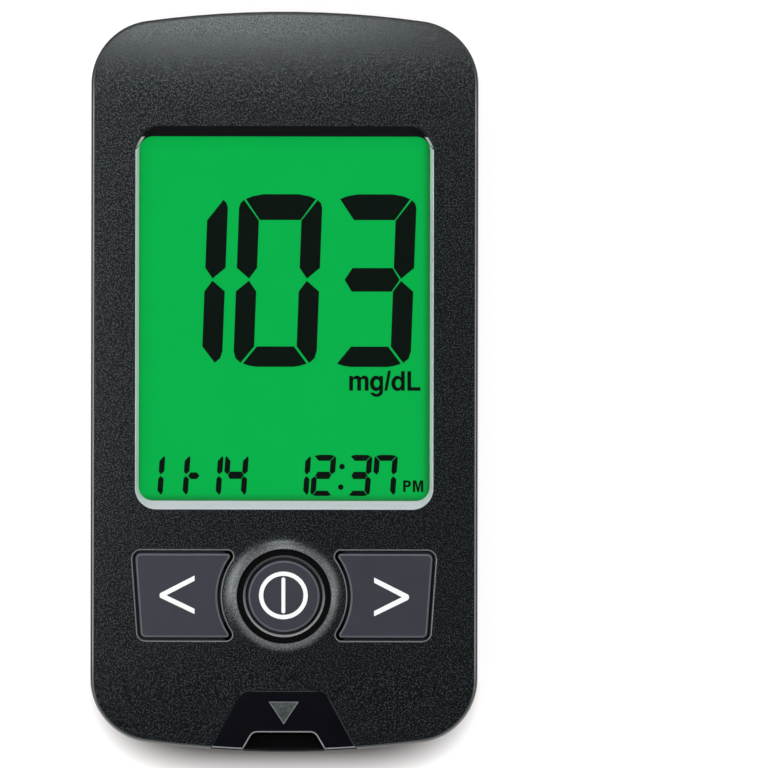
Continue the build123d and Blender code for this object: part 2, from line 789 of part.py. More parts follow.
# Lens, and the adhesive ring that holds it and the trim behind the face
with BuildPart() as display_lens:
    with BuildSketch(Plane.XY.offset(lens_under)):
        add(lens_plan())
    extrude(amount=lens_thickness)
display_lens.part.label = "display_lens"
export_step(display_lens.part, "parts/display_lens.step")

with BuildPart() as lens_tape:
    with BuildSketch(Plane.XY.offset(lens_top)):
        add(lens_plan(-tape_setback))
        with Locations((0, view_y)):
            Rectangle(view_width + 2 * tape_setback, view_height + 2 * tape_setback, mode=Mode.SUBTRACT)
    extrude(amount=tape_thickness)
lens_tape.part.label = "lens_tape"
export_step(lens_tape.part, "parts/lens_tape.step")

# Display panel: two glasses, the front one longer so that its lower edge carries the contacts
with BuildPart() as display_panel:
    with BuildSketch(Plane.XY.offset(panel_under)):
        with Locations((0, view_y)):
            Rectangle(panel_width, panel_height)
    extrude(amount=2 * glass_thickness)
    with BuildSketch(Plane.XY.offset(panel_step)):
        with Locations((0, view_y - panel_height / 2)):
            Rectangle(panel_width, contact_ledge, align=(Align.CENTER, Align.MAX))
    extrude(amount=glass_thickness)
display_panel.part.label = "display_panel"
export_step(display_panel.part, "parts/display_panel.step")

with BuildPart() as display_gasket:
    with BuildSketch(Plane.XY.offset(panel_top)):
        with Locations((0, view_y)):
            Rectangle(panel_width, panel_height)
            Rectangle(view_width + 2 * gasket_setback, view_height + 2 * gasket_setback, mode=Mode.SUBTRACT)
    extrude(amount=gasket_thickness)
display_gasket.part.label = "display_gasket"
export_step(display_gasket.part, "parts/display_gasket.step")

# Light guide with its reflector, lamps beyond its upper edge
guide_top_y = view_y + panel_height / 2 - lamp_strip
guide_low_y = view_y - panel_height / 2 + guide_gap
guide_width = panel_width - 2 * guide_gap
for piece_name, low, thickness in (
    ("light_guide", guide_under, guide_thickness),
    ("reflector_sheet", board_top, reflector_thickness),
):
    with BuildPart() as sheet:
        with BuildSketch(Plane.XY.offset(low)):
            with Locations((0, (guide_top_y + guide_low_y) / 2)):
                Rectangle(guide_width, guide_top_y - guide_low_y)
        extrude(amount=thickness)
        if piece_name == "light_guide":
            chamfer(sheet.edges().group_by(Axis.Y)[-1].filter_by(Axis.X), guide_bevel)
    sheet.part.label = piece_name
    export_step(sheet.part, f"parts/{piece_name}.step")

with BuildPart() as backlight_lamps:
    with BuildSketch(Plane.XY.offset(board_top)):
        with Locations((0, guide_top_y + lamp_strip / 2)):
            with GridLocations(lamp_pitch, 0, lamp_count, 1):
                Rectangle(lamp_size[0], lamp_size[1])
    extrude(amount=lamp_size[2])
backlight_lamps.part.label = "backlight_lamps"
export_step(backlight_lamps.part, "parts/backlight_lamps.step")

# Elastomer connector between the board and the panel's contact ledge
ledge_y = view_y - panel_height / 2 - contact_ledge / 2
with BuildPart() as elastomer_connector:
    with BuildSketch(Plane.XY.offset(board_top)):
        with Locations((0, ledge_y)):
            Rectangle(guide_width - 2 * frame_wall, contact_ledge - 2 * connector_clearance)
    extrude(amount=panel_step - board_top)
elastomer_connector.part.label = "elastomer_connector"
export_step(elastomer_connector.part, "parts/elastomer_connector.step")

# Frame that holds the display stack on the board
frame_low = view_y - panel_height / 2 - contact_ledge - frame_clearance
frame_high = view_y + panel_height / 2 + frame_clearance
frame_mid = (frame_low + frame_high) / 2
frame_inside = (panel_width + 2 * frame_clearance, frame_high - frame_low)
with BuildPart() as display_frame:
    with BuildSketch(Plane.XY.offset(board_top)):
        with Locations((0, frame_mid)):
            Rectangle(frame_inside[0] + 2 * frame_wall, frame_inside[1] + 2 * frame_wall)
            Rectangle(*frame_inside, mode=Mode.SUBTRACT)
    extrude(amount=panel_top - board_top)
    # bar between the light guide and the elastomer connector
    with BuildSketch(Plane.XY.offset(board_top)):
        with Locations((0, view_y - panel_height / 2)):
            Rectangle(frame_inside[0], guide_gap - frame_clearance, align=(Align.CENTER, Align.MIN))
    extrude(amount=panel_under - board_top)
    # pegs that stand in the board
    with BuildSketch(Plane.XY.offset(board_under)):
        with Locations((0, frame_mid)):
            with GridLocations(frame_inside[0] + frame_wall, frame_inside[1] - 2 * peg_inset, 2, 2):
                Rectangle(peg_side, peg_side)
    extrude(amount=board_thickness + frame_wall)
display_frame.part.label = "display_frame"
export_step(display_frame.part, "parts/display_frame.step")

# Main board with its notches, holes and square-cut lower end
with BuildPart() as main_board:
    with BuildSketch(Plane.XY.offset(board_under)):
        add(body_plan(board_inset, cut_corners=True))
        with Locations((0, board_end)):
            Rectangle(body_width, body_length, align=(Align.CENTER, Align.MIN), mode=Mode.INTERSECT)
        with Locations(*screw_points):
            Circle(boss_radius + board_notch_gap, mode=Mode.SUBTRACT)
        with Locations((0, frame_mid)):
            with GridLocations(frame_inside[0] + frame_wall, frame_inside[1] - 2 * peg_inset, 2, 2):
                Rectangle(peg_side + 2 * peg_fit, peg_side + 2 * peg_fit, mode=Mode.SUBTRACT)
    extrude(amount=board_thickness)
main_board.part.label = "main_board"
export_step(main_board.part, "parts/main_board.step")

# Screws: a cheese head and a plain shank for each, the recess left to the finish
with BuildPart() as housing_screws:
    with BuildSketch(Plane.XY.offset(screw_seat_height - screw_head[1])):
        with Locations(*screw_points):
            Circle(screw_head[0])
    extrude(amount=screw_head[1])
    with BuildSketch(Plane.XY.offset(screw_seat_height)):
        with Locations(*screw_points):
            Circle(screw_radius)
    extrude(amount=screw_length)
housing_screws.part.label = "housing_screws"
export_step(housing_screws.part, "parts/housing_screws.step")

# Keys: a cap through the cover and a flange that keeps it in
with BuildPart() as left_button:
    with BuildSketch(Plane.XY.offset(flange_top)):
        add(side_key_plan())
    extrude(amount=key_top - flange_top)
    chamfer(left_button.edges().group_by(Axis.Z)[-1], key_edge_bevel)
    with BuildSketch(Plane.XY.offset(flange_under)):
        flange_reach = key_gap + key_flange
        flange_width = side_key_outer_top - side_key_hollow + 2 * flange_reach
        with Locations((-side_key_x, key_y + (side_key_top - side_key_bottom) / 2)):
            Rectangle(flange_width, side_key_top + side_key_bottom + 2 * flange_reach)
        add(side_key_plan())
    extrude(amount=key_flange_thickness)
left_button.part.label = "left_button"
export_step(left_button.part, "parts/left_button.step")

with BuildPart() as right_button:
    mirror(left_button.part, about=Plane.YZ)
right_button.part.label = "right_button"
export_step(right_button.part, "parts/right_button.step")

with BuildPart() as power_button:
    with BuildSketch(Plane.XY.offset(flange_top)):
        with Locations((0, key_y)):
            Circle(power_key_radius)
    extrude(amount=key_top - flange_top)
    chamfer(power_button.edges().group_by(Axis.Z)[-1], key_edge_bevel)
    with BuildSketch(Plane.XY.offset(flange_under)):
        with Locations((0, key_y)):
            Rectangle(2 * (power_bore + key_flange), 2 * (power_bore + key_flange))
    extrude(amount=key_flange_thickness)
power_button.part.label = "power_button"
export_step(power_button.part, "parts/power_button.step")

# Push switches under the keys, each with the plunger that its key presses
for name, x in (("left", -side_key_x), ("power", 0), ("right", side_key_x)):
    with BuildPart() as switch:
        with BuildSketch(Plane.XY.offset(board_top)):
            with Locations((x, key_y)):
                Rectangle(switch_side, switch_side)
        extrude(amount=switch_height)
        chamfer(switch.edges().filter_by(Axis.Z), switch_bevel)
        with BuildSketch(Plane.XY.offset(board_top + switch_height)):
            with Locations((x, key_y)):
                Rectangle(plunger_side + 2 * plunger_fit, plunger_side + 2 * plunger_fit)
        extrude(amount=-(plunger_hold + key_travel + key_flange_gap), mode=Mode.SUBTRACT)
    switch.part.label = f"{name}_switch"
    export_step(switch.part, f"parts/{name}_switch.step")
    with BuildPart() as plunger:
        with BuildSketch(Plane.XY.offset(board_top + switch_height - plunger_hold)):
            with Locations((x, key_y)):
                Rectangle(plunger_side, plunger_side)
        extrude(amount=flange_under - board_top - switch_height + plunger_hold)
    plunger.part.label = f"{name}_plunger"
    export_step(plunger.part, f"parts/{name}_plunger.step")

# Strip connector and its springs
connector_x, connector_y, connector_z = connector_size
slot_y = board_end
with BuildPart() as strip_connector:
    with BuildSketch(Plane.XY.offset(board_top)):
        with Locations((0, slot_y)):
            Rectangle(connector_x, connector_y, align=(Align.CENTER, Align.MIN))
    extrude(amount=connector_z)
    chamfer(strip_connector.edges().filter_by(Axis.Z), connector_bevel)
    with BuildSketch(Plane.XZ.offset(-slot_y)):
        with Locations((0, slot_under + slot_height / 2)):
            Rectangle(slot_width, slot_height)
    extrude(amount=-connector_slot_depth, mode=Mode.SUBTRACT)
    # grooves in the slot's roof for the springs
    with BuildSketch(Plane.XZ.offset(-slot_y)):
        with Locations((0, slot_under + slot_height)):
            with GridLocations(strip_contact_pitch, 0, strip_contact_count, 1):
                Rectangle(
                    strip_contact_width + 2 * contact_slot_clearance,
                    strip_groove,
                    align=(Align.CENTER, Align.MIN),
                )
    extrude(amount=-connector_slot_depth, mode=Mode.SUBTRACT)
strip_connector.part.label = "strip_connector"
export_step(strip_connector.part, "parts/strip_connector.step")

with BuildPart() as strip_contacts:
    with BuildSketch(Plane.YZ) as spring:
        spring_level = slot_under + slot_height + strip_groove - strip_contact_sheet / 2
        spring_back = slot_y + connector_slot_depth - strip_contact_sheet
        spring_bend = spring_back - spring_anchor
        spring_nose = spring_back - spring_reach
        spring_low = slot_under + spring_dip + strip_contact_sheet / 2
        with BuildLine() as spring_line:
            Polyline(
                (spring_back, spring_level),
                (spring_bend, spring_level),
                ((spring_bend + spring_nose) / 2, spring_low),
                (spring_nose, spring_level - spring_nose_lift),
            )
        trace(spring_line.edges(), strip_contact_sheet)
    for place in GridLocations(strip_contact_pitch, 0, strip_contact_count, 1):
        plane = Plane.YZ.offset(place.position.X)
        extrude(plane * spring.sketch_local, amount=strip_contact_width / 2, both=True)
strip_contacts.part.label = "strip_contacts"
export_step(strip_contacts.part, "parts/strip_contacts.step")

# Parts on the underside of the board
with BuildPart() as buzzer:
    with BuildSketch(Plane.XY.offset(board_under)):
        with Locations((buzzer_place[0], key_y + buzzer_place[1])):
            Circle(buzzer_radius)
    extrude(amount=-buzzer_height)
buzzer.part.label = "buzzer"
export_step(buzzer.part, "parts/buzzer.step")

for name, size, place in (
    ("controller_chip", controller_size, controller_place),
    ("measuring_chip", measuring_size, measuring_place),
):
    with BuildPart() as chip:
        with BuildSketch(Plane.XY.offset(board_under)):
            with Locations((place[0], key_y + place[1])):
                Rectangle(size[0], size[1])
        extrude(amount=-size[2])
        chamfer(chip.edges().group_by(Axis.Z)[0], chip_bevel)
    chip.part.label = name
    export_step(chip.part, f"parts/{name}.step")

with BuildPart() as clock_crystal:
    with BuildSketch(Plane.XZ.offset(-key_y - crystal_place[1])):
        with Locations((crystal_place[0], board_under - crystal_radius)):
            Circle(crystal_radius)
    extrude(amount=-crystal_length)
clock_crystal.part.label = "clock_crystal"
export_step(clock_crystal.part, "parts/clock_crystal.step")

with BuildPart() as capacitors:
    with BuildSketch(Plane.XY.offset(board_under)):
        with Locations((capacitor_place[0], key_y + capacitor_place[1])):
            with GridLocations(0, capacitor_pitch, 1, capacitor_count):
                Rectangle(capacitor_size[0], capacitor_size[1])
    extrude(amount=-capacitor_size[2])
capacitors.part.label = "capacitors"
export_step(capacitors.part, "parts/capacitors.step")
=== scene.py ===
"""Looks of the blood glucose meter: materials, display marks, key symbols, small fasteners, light and camera."""

from math import cos, pi, radians, sin, sqrt

import bmesh
import bpy
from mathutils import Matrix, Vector


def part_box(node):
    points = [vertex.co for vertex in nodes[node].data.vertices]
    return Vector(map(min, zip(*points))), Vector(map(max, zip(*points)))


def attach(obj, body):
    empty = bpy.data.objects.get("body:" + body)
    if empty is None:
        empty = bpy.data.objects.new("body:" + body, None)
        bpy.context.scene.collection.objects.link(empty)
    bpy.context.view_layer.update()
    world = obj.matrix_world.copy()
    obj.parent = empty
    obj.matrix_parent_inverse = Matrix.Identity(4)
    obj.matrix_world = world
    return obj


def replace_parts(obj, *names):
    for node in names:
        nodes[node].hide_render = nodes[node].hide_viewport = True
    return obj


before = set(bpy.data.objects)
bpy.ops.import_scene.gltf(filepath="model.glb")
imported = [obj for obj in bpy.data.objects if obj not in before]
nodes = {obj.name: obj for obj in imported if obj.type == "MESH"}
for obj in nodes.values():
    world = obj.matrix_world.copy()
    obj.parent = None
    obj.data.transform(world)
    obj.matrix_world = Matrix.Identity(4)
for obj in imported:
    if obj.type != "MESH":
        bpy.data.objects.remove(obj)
bpy.context.view_layer.update()

MM = 0.001

# Levels of the CAD model that pieces here sit on, in millimetres
FACE = 15.3
KEY_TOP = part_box("left_button")[1].z / MM
PANEL_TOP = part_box("display_panel")[1].z / MM
KEY_ROW_Y = -29.3
END_SLOPE_START = 38.0
END_SLOPE_RADIUS = 150.0
PRINT = 0.02  # thickness of a printed mark
FILM = 0.02  # thickness of a dark display segment
WINDOW_CORNER = 4.1  # radius of the line where the window's hood ends in its two corners
WINDOW_CORNER_X, WINDOW_CORNER_Y = 16.3, 30.85


# --- meshes ---------------------------------------------------------------------------------------


def mesh_object(name, verts, faces, material, body, smooth=False):
    """A piece from points in millimetres, riding on a body."""
    mesh = bpy.data.meshes.new(name)
    mesh.from_pydata([tuple(c * MM for c in v) for v in verts], [], faces)
    work = bmesh.new()
    work.from_mesh(mesh)
    bmesh.ops.remove_doubles(work, verts=work.verts, dist=1e-8)
    bmesh.ops.recalc_face_normals(work, faces=work.faces)
    work.to_mesh(mesh)
    work.free()
    mesh.materials.append(material)
    if smooth:
        mesh.set_sharp_from_angle(angle=radians(32))
        for polygon in mesh.polygons:
            polygon.use_smooth = True
    piece = bpy.data.objects.new(name, mesh)
    bpy.context.scene.collection.objects.link(piece)
    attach(piece, body)
    return piece


def number_at(number, place):
    """A number, or a function's value at a place."""
    return number(place) if callable(number) else number


def level_at(y):
    """Height of the meter's face at y, which falls away at the two ends."""
    past = max(abs(y) - END_SLOPE_START, 0.0)
    return FACE - (END_SLOPE_RADIUS - sqrt(END_SLOPE_RADIUS**2 - past**2))


def prisms(name, outlines, low, high, material, body):
    """One piece made of upright prisms, one for each closed outline. Levels are numbers or functions of y."""
    verts, faces = [], []
    for outline in outlines:
        start, count = len(verts), len(outline)
        for level in (low, high):
            for x, y in outline:
                verts.append((x, y, number_at(level, y)))
        faces.append(tuple(start + count + k for k in range(count)))
        faces.append(tuple(start + count - 1 - k for k in range(count)))
        for k in range(count):
            n = (k + 1) % count
            faces.append((start + k, start + n, start + count + n, start + count + k))
    return mesh_object(name, verts, faces, material, body)


def arc_points(x, y, r, first, last, count):
    """Points on an arc, angles in degrees."""
    angles = [radians(first + (last - first) * k / (count - 1)) for k in range(count)]
    return [(x + r * cos(a), y + r * sin(a)) for a in angles]


def ring_piece(name, outer, inner, low, high, material, body):
    """A flat frame between two outlines of the same number of points, with its walls."""
    count = len(outer)
    verts = []
    for level in (low, high):
        for outline in (outer, inner):
            verts += [(x, y, number_at(level, y)) for x, y in outline]
    faces = []
    for k in range(count):
        n = (k + 1) % count
        faces.append((k, n, count + n, count + k))
        faces.append((2 * count + k, 2 * count + n, 3 * count + n, 3 * count + k))
        faces.append((k, n, 2 * count + n, 2 * count + k))
        faces.append((count + k, count + n, 3 * count + n, 3 * count + k))
    return mesh_object(name, verts, faces, material, body)


# --- materials ------------------------------------------------------------------------------------


class Graph:
    """Short calls for building one material's node tree."""

    def __init__(self, name):
        self.material = bpy.data.materials.new(name)
        self.material.use_nodes = True
        self.tree = self.material.node_tree
        self.shader = self.tree.nodes["Principled BSDF"]
        self.output = self.tree.nodes["Material Output"]
        self.coords = self.tree.nodes.new("ShaderNodeTexCoord").outputs["Object"]

    def node(self, kind, **settings):
        made = self.tree.nodes.new(kind)
        for key, value in settings.items():
            setattr(made, key, value)
        return made

    def put(self, socket, value):
        if isinstance(value, bpy.types.NodeSocket):
            self.tree.links.new(value, socket)
        else:
            socket.default_value = value

    def surface(self, colour, roughness, normal=None):
        """The material's colour and roughness, and its bump if it has one."""
        self.put(self.shader.inputs["Base Color"], colour)
        self.put(self.shader.inputs["Roughness"], roughness)
        if normal is not None:
            self.put(self.shader.inputs["Normal"], normal)

    def math(self, operation, a, b=0.0, clamp=False):
        made = self.node("ShaderNodeMath", operation=operation, use_clamp=clamp)
        self.put(made.inputs[0], a)
        self.put(made.inputs[1], b)
        return made.outputs[0]

    def product(self, first, *others):
        for other in others:
            first = self.math("MULTIPLY", first, other)
        return first

    def greatest(self, first, *others):
        for other in others:
            first = self.math("MAXIMUM", first, other)
        return first

    def past(self, value, start):
        """How far a value lies past a start, and 0 before it."""
        return self.greatest(self.math("SUBTRACT", value, start), 0.0)

    def distance(self, u, v):
        squares = self.math("ADD", self.product(u, u), self.product(v, v))
        return self.math("SQRT", squares)

    def noise(self, size_mm, detail=2.0, roughness=0.5, coords=None):
        made = self.node("ShaderNodeTexNoise")
        self.put(made.inputs["Vector"], coords or self.coords)
        made.inputs["Scale"].default_value = 1 / (size_mm * MM)
        made.inputs["Detail"].default_value = detail
        made.inputs["Roughness"].default_value = roughness
        return made.outputs["Fac"]

    def ramp(self, value, low, high, to_low=0.0, to_high=1.0):
        made = self.node("ShaderNodeMapRange", clamp=True)
        self.put(made.inputs["Value"], value)
        for key, number in (("From Min", low), ("From Max", high), ("To Min", to_low), ("To Max", to_high)):
            made.inputs[key].default_value = number
        return made.outputs["Result"]

    def spread(self, noise, to_low=0.0, to_high=1.0):
        """The usual range of a noise, stretched between two numbers."""
        return self.ramp(noise, 0.3, 0.7, to_low, to_high)

    def below(self, value, limit, blend):
        """1 up to a limit, 0 beyond it."""
        return self.ramp(value, limit, limit + blend, 1.0, 0.0)

    def between(self, value, low, high, blend):
        """1 where a value lies between two limits, 0 beyond them."""
        return self.product(self.ramp(value, low - blend, low), self.below(value, high, blend))

    def mix(self, factor, a, b):
        made = self.node("ShaderNodeMix", data_type="RGBA")
        self.put(made.inputs[0], factor)
        self.put(made.inputs[6], a)
        self.put(made.inputs[7], b)
        return made.outputs[2]

    def vary(self, factor, colour, low, high):
        """One colour between two brightnesses."""
        return self.mix(factor, shade(colour, low), shade(colour, high))

    def two_noises(self, fine, slow, share):
        """A fine noise and a slow one, added by their shares."""
        return self.math("ADD", self.product(fine, share), self.product(slow, 1 - share))

    def axes(self):
        """The three coordinates in millimetres."""
        made = self.node("ShaderNodeSeparateXYZ")
        self.put(made.inputs[0], self.coords)
        return [self.math("MULTIPLY", made.outputs[k], 1 / MM) for k in range(3)]

    def under_face(self, y, z):
        """Depth in millimetres below the meter's face, nearly as level_at gives its height."""
        past = self.past(self.math("ABSOLUTE", y), END_SLOPE_START)
        fall = self.math("DIVIDE", self.product(past, past), 2 * END_SLOPE_RADIUS)
        return self.math("SUBTRACT", self.math("SUBTRACT", FACE, fall), z)

    def facing(self):
        """Upright part of the surface's own normal: 1 on a level face, about 0.7 on a 45 degree edge."""
        made = self.node("ShaderNodeSeparateXYZ")
        texture_coords = self.node("ShaderNodeTexCoord")
        self.put(made.inputs[0], texture_coords.outputs["Normal"])
        return made.outputs[2]

    def slanted(self):
        """1 on the edges of about 45 degrees."""
        return self.between(self.facing(), 0.62, 0.8, 0.04)

    def bump(self, height, depth_mm, normal=None, strength=1.0):
        made = self.node("ShaderNodeBump")
        made.inputs["Distance"].default_value = depth_mm * MM
        self.put(made.inputs["Strength"], strength)
        self.put(made.inputs["Height"], height)
        if normal is not None:
            self.put(made.inputs["Normal"], normal)
        return made.outputs["Normal"]

    def soft_edges(self, radius_mm):
        made = self.node("ShaderNodeBevel", samples=4)
        made.inputs["Radius"].default_value = radius_mm * MM
        return made.outputs["Normal"]


def shade(colour, factor):
    """A linear colour scaled, as an RGBA tuple."""
    return (colour[0] * factor, colour[1] * factor, colour[2] * factor, 1.0)


def moulded(name, colour, roughness=0.45, grain=0.3, depth=0.006, vary=0.16, specular=0.5):
    """Moulded plastic or rubber, or ink: fine grain, slow variation of tone and of gloss."""
    g = Graph(name)
    fine = g.noise(grain, 3.0, 0.6)
    tone = g.two_noises(fine, g.noise(9.0, 2.0), 0.7)
    gloss = g.spread(g.noise(3.0, 3.0), roughness - 0.05, roughness + 0.05)
    g.surface(g.vary(g.spread(tone), colour, 1 - vary, 1 + vary), gloss, g.bump(fine, depth))
    g.shader.inputs["Specular IOR Level"].default_value = specular
    return g.material


def metal(name, colour, roughness=0.3, stretch=(1.0, 1.0, 1.0), line=0.08, depth=0.002, vary=0.1):
    """Rolled, turned or plated metal: drawn-out grain, slight tarnish in patches."""
    g = Graph(name)
    stretched = g.node("ShaderNodeMapping")
    g.put(stretched.inputs["Vector"], g.coords)
    stretched.inputs["Scale"].default_value = stretch
    lines = g.noise(line, 3.0, 0.65, stretched.outputs["Vector"])
    patch = g.noise(2.2, 3.0)
    tone = g.spread(g.two_noises(lines, patch, 0.5))
    gloss = g.spread(patch, roughness - 0.06, roughness + 0.08)
    g.surface(g.vary(tone, colour, 1 - vary, 1 + vary / 2), gloss, g.bump(lines, depth))
    g.shader.inputs["Metallic"].default_value = 1.0
    return g.material


def silver_paint(name, colour):
    """Silver paint: fine flakes in a satin coat."""
    g = Graph(name)
    flakes = g.node("ShaderNodeTexVoronoi")
    g.put(flakes.inputs["Vector"], g.coords)
    flakes.inputs["Scale"].default_value = 1 / (0.07 * MM)
    fleck = g.ramp(flakes.outputs["Distance"], 0.1, 0.8)
    gloss = g.spread(g.noise(1.5, 2.0), 0.3, 0.38)
    g.surface(g.vary(fleck, colour, 1.05, 0.93), gloss, g.bump(fleck, 0.001, g.soft_edges(0.1)))
    g.shader.inputs["Metallic"].default_value = 0.25
    return g.material


# Limits of the covers' painted areas, in millimetres
FRONT_START = 9.0  # the dish, the hood and the ring lie above this; only the notch reaches the rear cover
DISH_RADIUS = 6.42
RING_INSIDE, RING_CREST, RING_END = 6.0, 6.46, 7.7  # the flared ring round the power key, by radius
HOOD_HALF_WIDTH, HOOD_LOW, HOOD_HIGH = 20.25, 31.6, 34.88
SILVER_LOW, SILVER_HIGH = 31.4, 33.3
NOTCH_HALF_WIDTH, NOTCH_END, NOTCH_LOW, NOTCH_HIGH = 7.0, -44.2, 3.0, 13.6
OUTER_X, OUTER_Y = 24.5, 42.0  # the cover's outer edge lies beyond these
KEYS_END = -12.0  # the key openings lie below this


def cover_material(name, colour, smooth_colour, painted_highlight_colour):
    """Black cover: spark-eroded grain, smooth in the window's hood, the dish and the notch, painted highlights on its
    edges.
    """
    g = Graph(name)
    x, y, z = g.axes()
    side = g.math("ABSOLUTE", x)
    depth = g.under_face(y, z)
    slanted = g.slanted()
    front = g.ramp(z, FRONT_START, FRONT_START + 0.5)
    from_key = g.distance(x, g.math("SUBTRACT", y, KEY_ROW_Y))

    # Smooth areas
    dish = g.product(front, g.below(from_key, DISH_RADIUS, 0.06))
    corner_x = g.past(side, WINDOW_CORNER_X)
    corner = g.distance(corner_x, g.past(y, WINDOW_CORNER_Y))
    below_face = g.below(z, FACE - 0.03, 0.02)
    hood = g.product(front, g.below(side, HOOD_HALF_WIDTH, 0.15), g.ramp(y, HOOD_LOW, HOOD_LOW + 0.2))
    hood = g.product(hood, g.below(y, HOOD_HIGH, 0.08), below_face, g.below(corner, WINDOW_CORNER, 0.08))
    notch = g.product(g.below(side, NOTCH_HALF_WIDTH, 0.2), g.below(y, NOTCH_END, 0.2))
    notch = g.product(notch, g.between(z, NOTCH_LOW, NOTCH_HIGH, 0.2))
    smooth = g.greatest(dish, hood, notch)

    # Base colours
    grain = g.ramp(g.noise(0.21, 2.0, 0.6), 0.49, 0.68)
    slow = g.spread(g.noise(14.0, 2.0))
    grained = g.mix(g.product(slow, 0.2), g.vary(grain, colour, 0.6, 5.6), shade(colour, 0.7))
    covered = g.mix(smooth, grained, g.vary(slow, smooth_colour, 0.9, 1.1))

    # Painted highlights on the flared ring's crest, along the key openings' edges and on the lip inside the ring
    crest_start = RING_CREST + 0.04
    crest = g.product(g.ramp(from_key, crest_start, RING_END, 1.0, 0.0), g.ramp(from_key, RING_CREST, crest_start))
    covered = g.mix(g.product(crest, front, 0.7), covered, g.vary(grain, painted_highlight_colour, 0.8, 2.3))
    outward = g.greatest(g.math("DIVIDE", side, OUTER_X), g.math("DIVIDE", g.math("ABSOLUTE", y), OUTER_Y))
    outside = g.ramp(outward, 0.99, 1.01)
    opening = g.product(g.below(y, KEYS_END, 2.0), g.between(depth, 0.0, 0.15, 0.02), g.math("SUBTRACT", 1.0, outside))
    covered = g.mix(g.product(slanted, opening), covered, shade(painted_highlight_colour, 1.9))
    lip = g.product(g.below(from_key, RING_INSIDE, 0.1), g.between(depth, 0.28, 0.62, 0.02))
    # the lip's painted highlight is brighter at its lower side
    lip_colour = g.vary(g.ramp(y, KEY_ROW_Y - 4.0, KEY_ROW_Y + 3.0), painted_highlight_colour, 3.2, 0.8)
    covered = g.mix(g.product(slanted, lip), covered, lip_colour)

    # Ends of the window's silver line, on the hood's two corners
    silver = g.between(corner, WINDOW_CORNER - 0.3, WINDOW_CORNER - 0.04, 0.06)
    silver = g.product(silver, g.between(y, SILVER_LOW, SILVER_HIGH, 0.15), g.ramp(corner_x, 1.5, 1.7))
    silver = g.product(silver, front, below_face)
    covered = g.mix(silver, covered, (0.5, 0.53, 0.55, 1))

    # Outer edge: a painted highlight along its upper side, and lower down at the lower end
    rim = g.product(outside, g.between(depth, 0.03, 0.17, 0.02))
    rim = g.product(rim, g.ramp(y, 38.0, 43.0, 1.0, 0.1), g.ramp(y, -44.0, -38.0, 0.12, 1.0))
    low_rim = g.product(outside, g.between(depth, 0.2, 0.4, 0.02), g.ramp(y, -46.0, -40.0, 0.7, 0.0))
    rim = g.product(slanted, g.greatest(rim, low_rim))
    edge_shade = g.product(outside, slanted, g.ramp(depth, 0.17, 0.2))

    gloss = g.math("SUBTRACT", g.ramp(grain, 0.0, 1.0, 0.19, 0.15), g.product(smooth, 0.02))
    gloss = g.math("ADD", gloss, g.product(edge_shade, 0.5))
    normal = g.bump(grain, 0.0055, g.soft_edges(0.1), g.math("SUBTRACT", 1.0, smooth))
    g.surface(g.mix(rim, covered, shade(painted_highlight_colour, 3.0)), gloss, normal)
    g.shader.inputs["Specular IOR Level"].default_value = 0.6
    g.shader.inputs["Specular Tint"].default_value = (0.92, 1.0, 1.03, 1.0)
    return g.material


SEAM_Y = -42.36  # upper side of the insert's seam
SEAM_SIDE_Y, SEAM_SIDE_X, SEAM_SLOPE = -42.2, 5.48, 0.5357  # its right side: a point, and x gained for each y lost


def port_material(name, colour, painted_highlight_colour):
    """Smooth black insert of the strip port: a painted highlight along its notch's edge and a faint one along its seam.
    """
    g = Graph(name)
    fine = g.noise(0.5, 3.0, 0.6)
    x, y, z = g.axes()
    depth = g.under_face(y, z)
    # Painted highlights: a pale line on the notch's edge and a faint one along the insert's seam
    slanted = g.product(g.slanted(), g.below(depth, 0.14, 0.03))
    top_seam = g.product(g.ramp(y, SEAM_Y, SEAM_Y + 0.04), g.ramp(g.math("ABSOLUTE", x), 3.9, 5.0, 1.0, 0.0))
    across = g.math("SUBTRACT", x, g.product(g.math("SUBTRACT", SEAM_SIDE_Y, y), SEAM_SLOPE))
    side_seam = g.ramp(across, SEAM_SIDE_X, SEAM_SIDE_X + 0.06)
    seam = g.product(g.greatest(top_seam, side_seam), g.below(depth, 0.05, 0.03))
    plain = g.mix(seam, g.vary(g.spread(fine), colour, 0.9, 1.1), shade(painted_highlight_colour, 0.08))
    gloss = g.spread(g.noise(3.0, 3.0), 0.24, 0.26)
    g.surface(g.mix(slanted, plain, shade(painted_highlight_colour, 1.0)), gloss, g.bump(fine, 0.001, g.soft_edges(0.1)))
    g.shader.inputs["Specular IOR Level"].default_value = 0.35
    g.shader.inputs["Specular Tint"].default_value = (0.9, 0.95, 1.2, 1.0)
    return g.material


def key_material(name, colour, rim_highlight_colour):
    """Key rubber: fine matt grain, a painted highlight along the top's edge, and painted shade on its upright sides."""
    g = Graph(name)
    fine = g.noise(0.22, 3.0, 0.6)
    tone = g.two_noises(fine, g.noise(9.0, 2.0), 0.7)
    # painted highlight on the top's edge; painted shade on the upright sides, which sit in the gap round the key
    rim = g.between(g.facing(), 0.4, 0.97, 0.02)
    skirt_shade = g.below(g.facing(), 0.1, 0.2)
    cap = g.mix(rim, g.vary(g.spread(tone), colour, 0.9, 1.1), shade(rim_highlight_colour, 1.0))
    gloss = g.spread(g.noise(3.0, 3.0), 0.44, 0.54)
    g.surface(g.mix(skirt_shade, cap, shade(colour, 0.15)), gloss, g.bump(fine, 0.003))
    return g.material


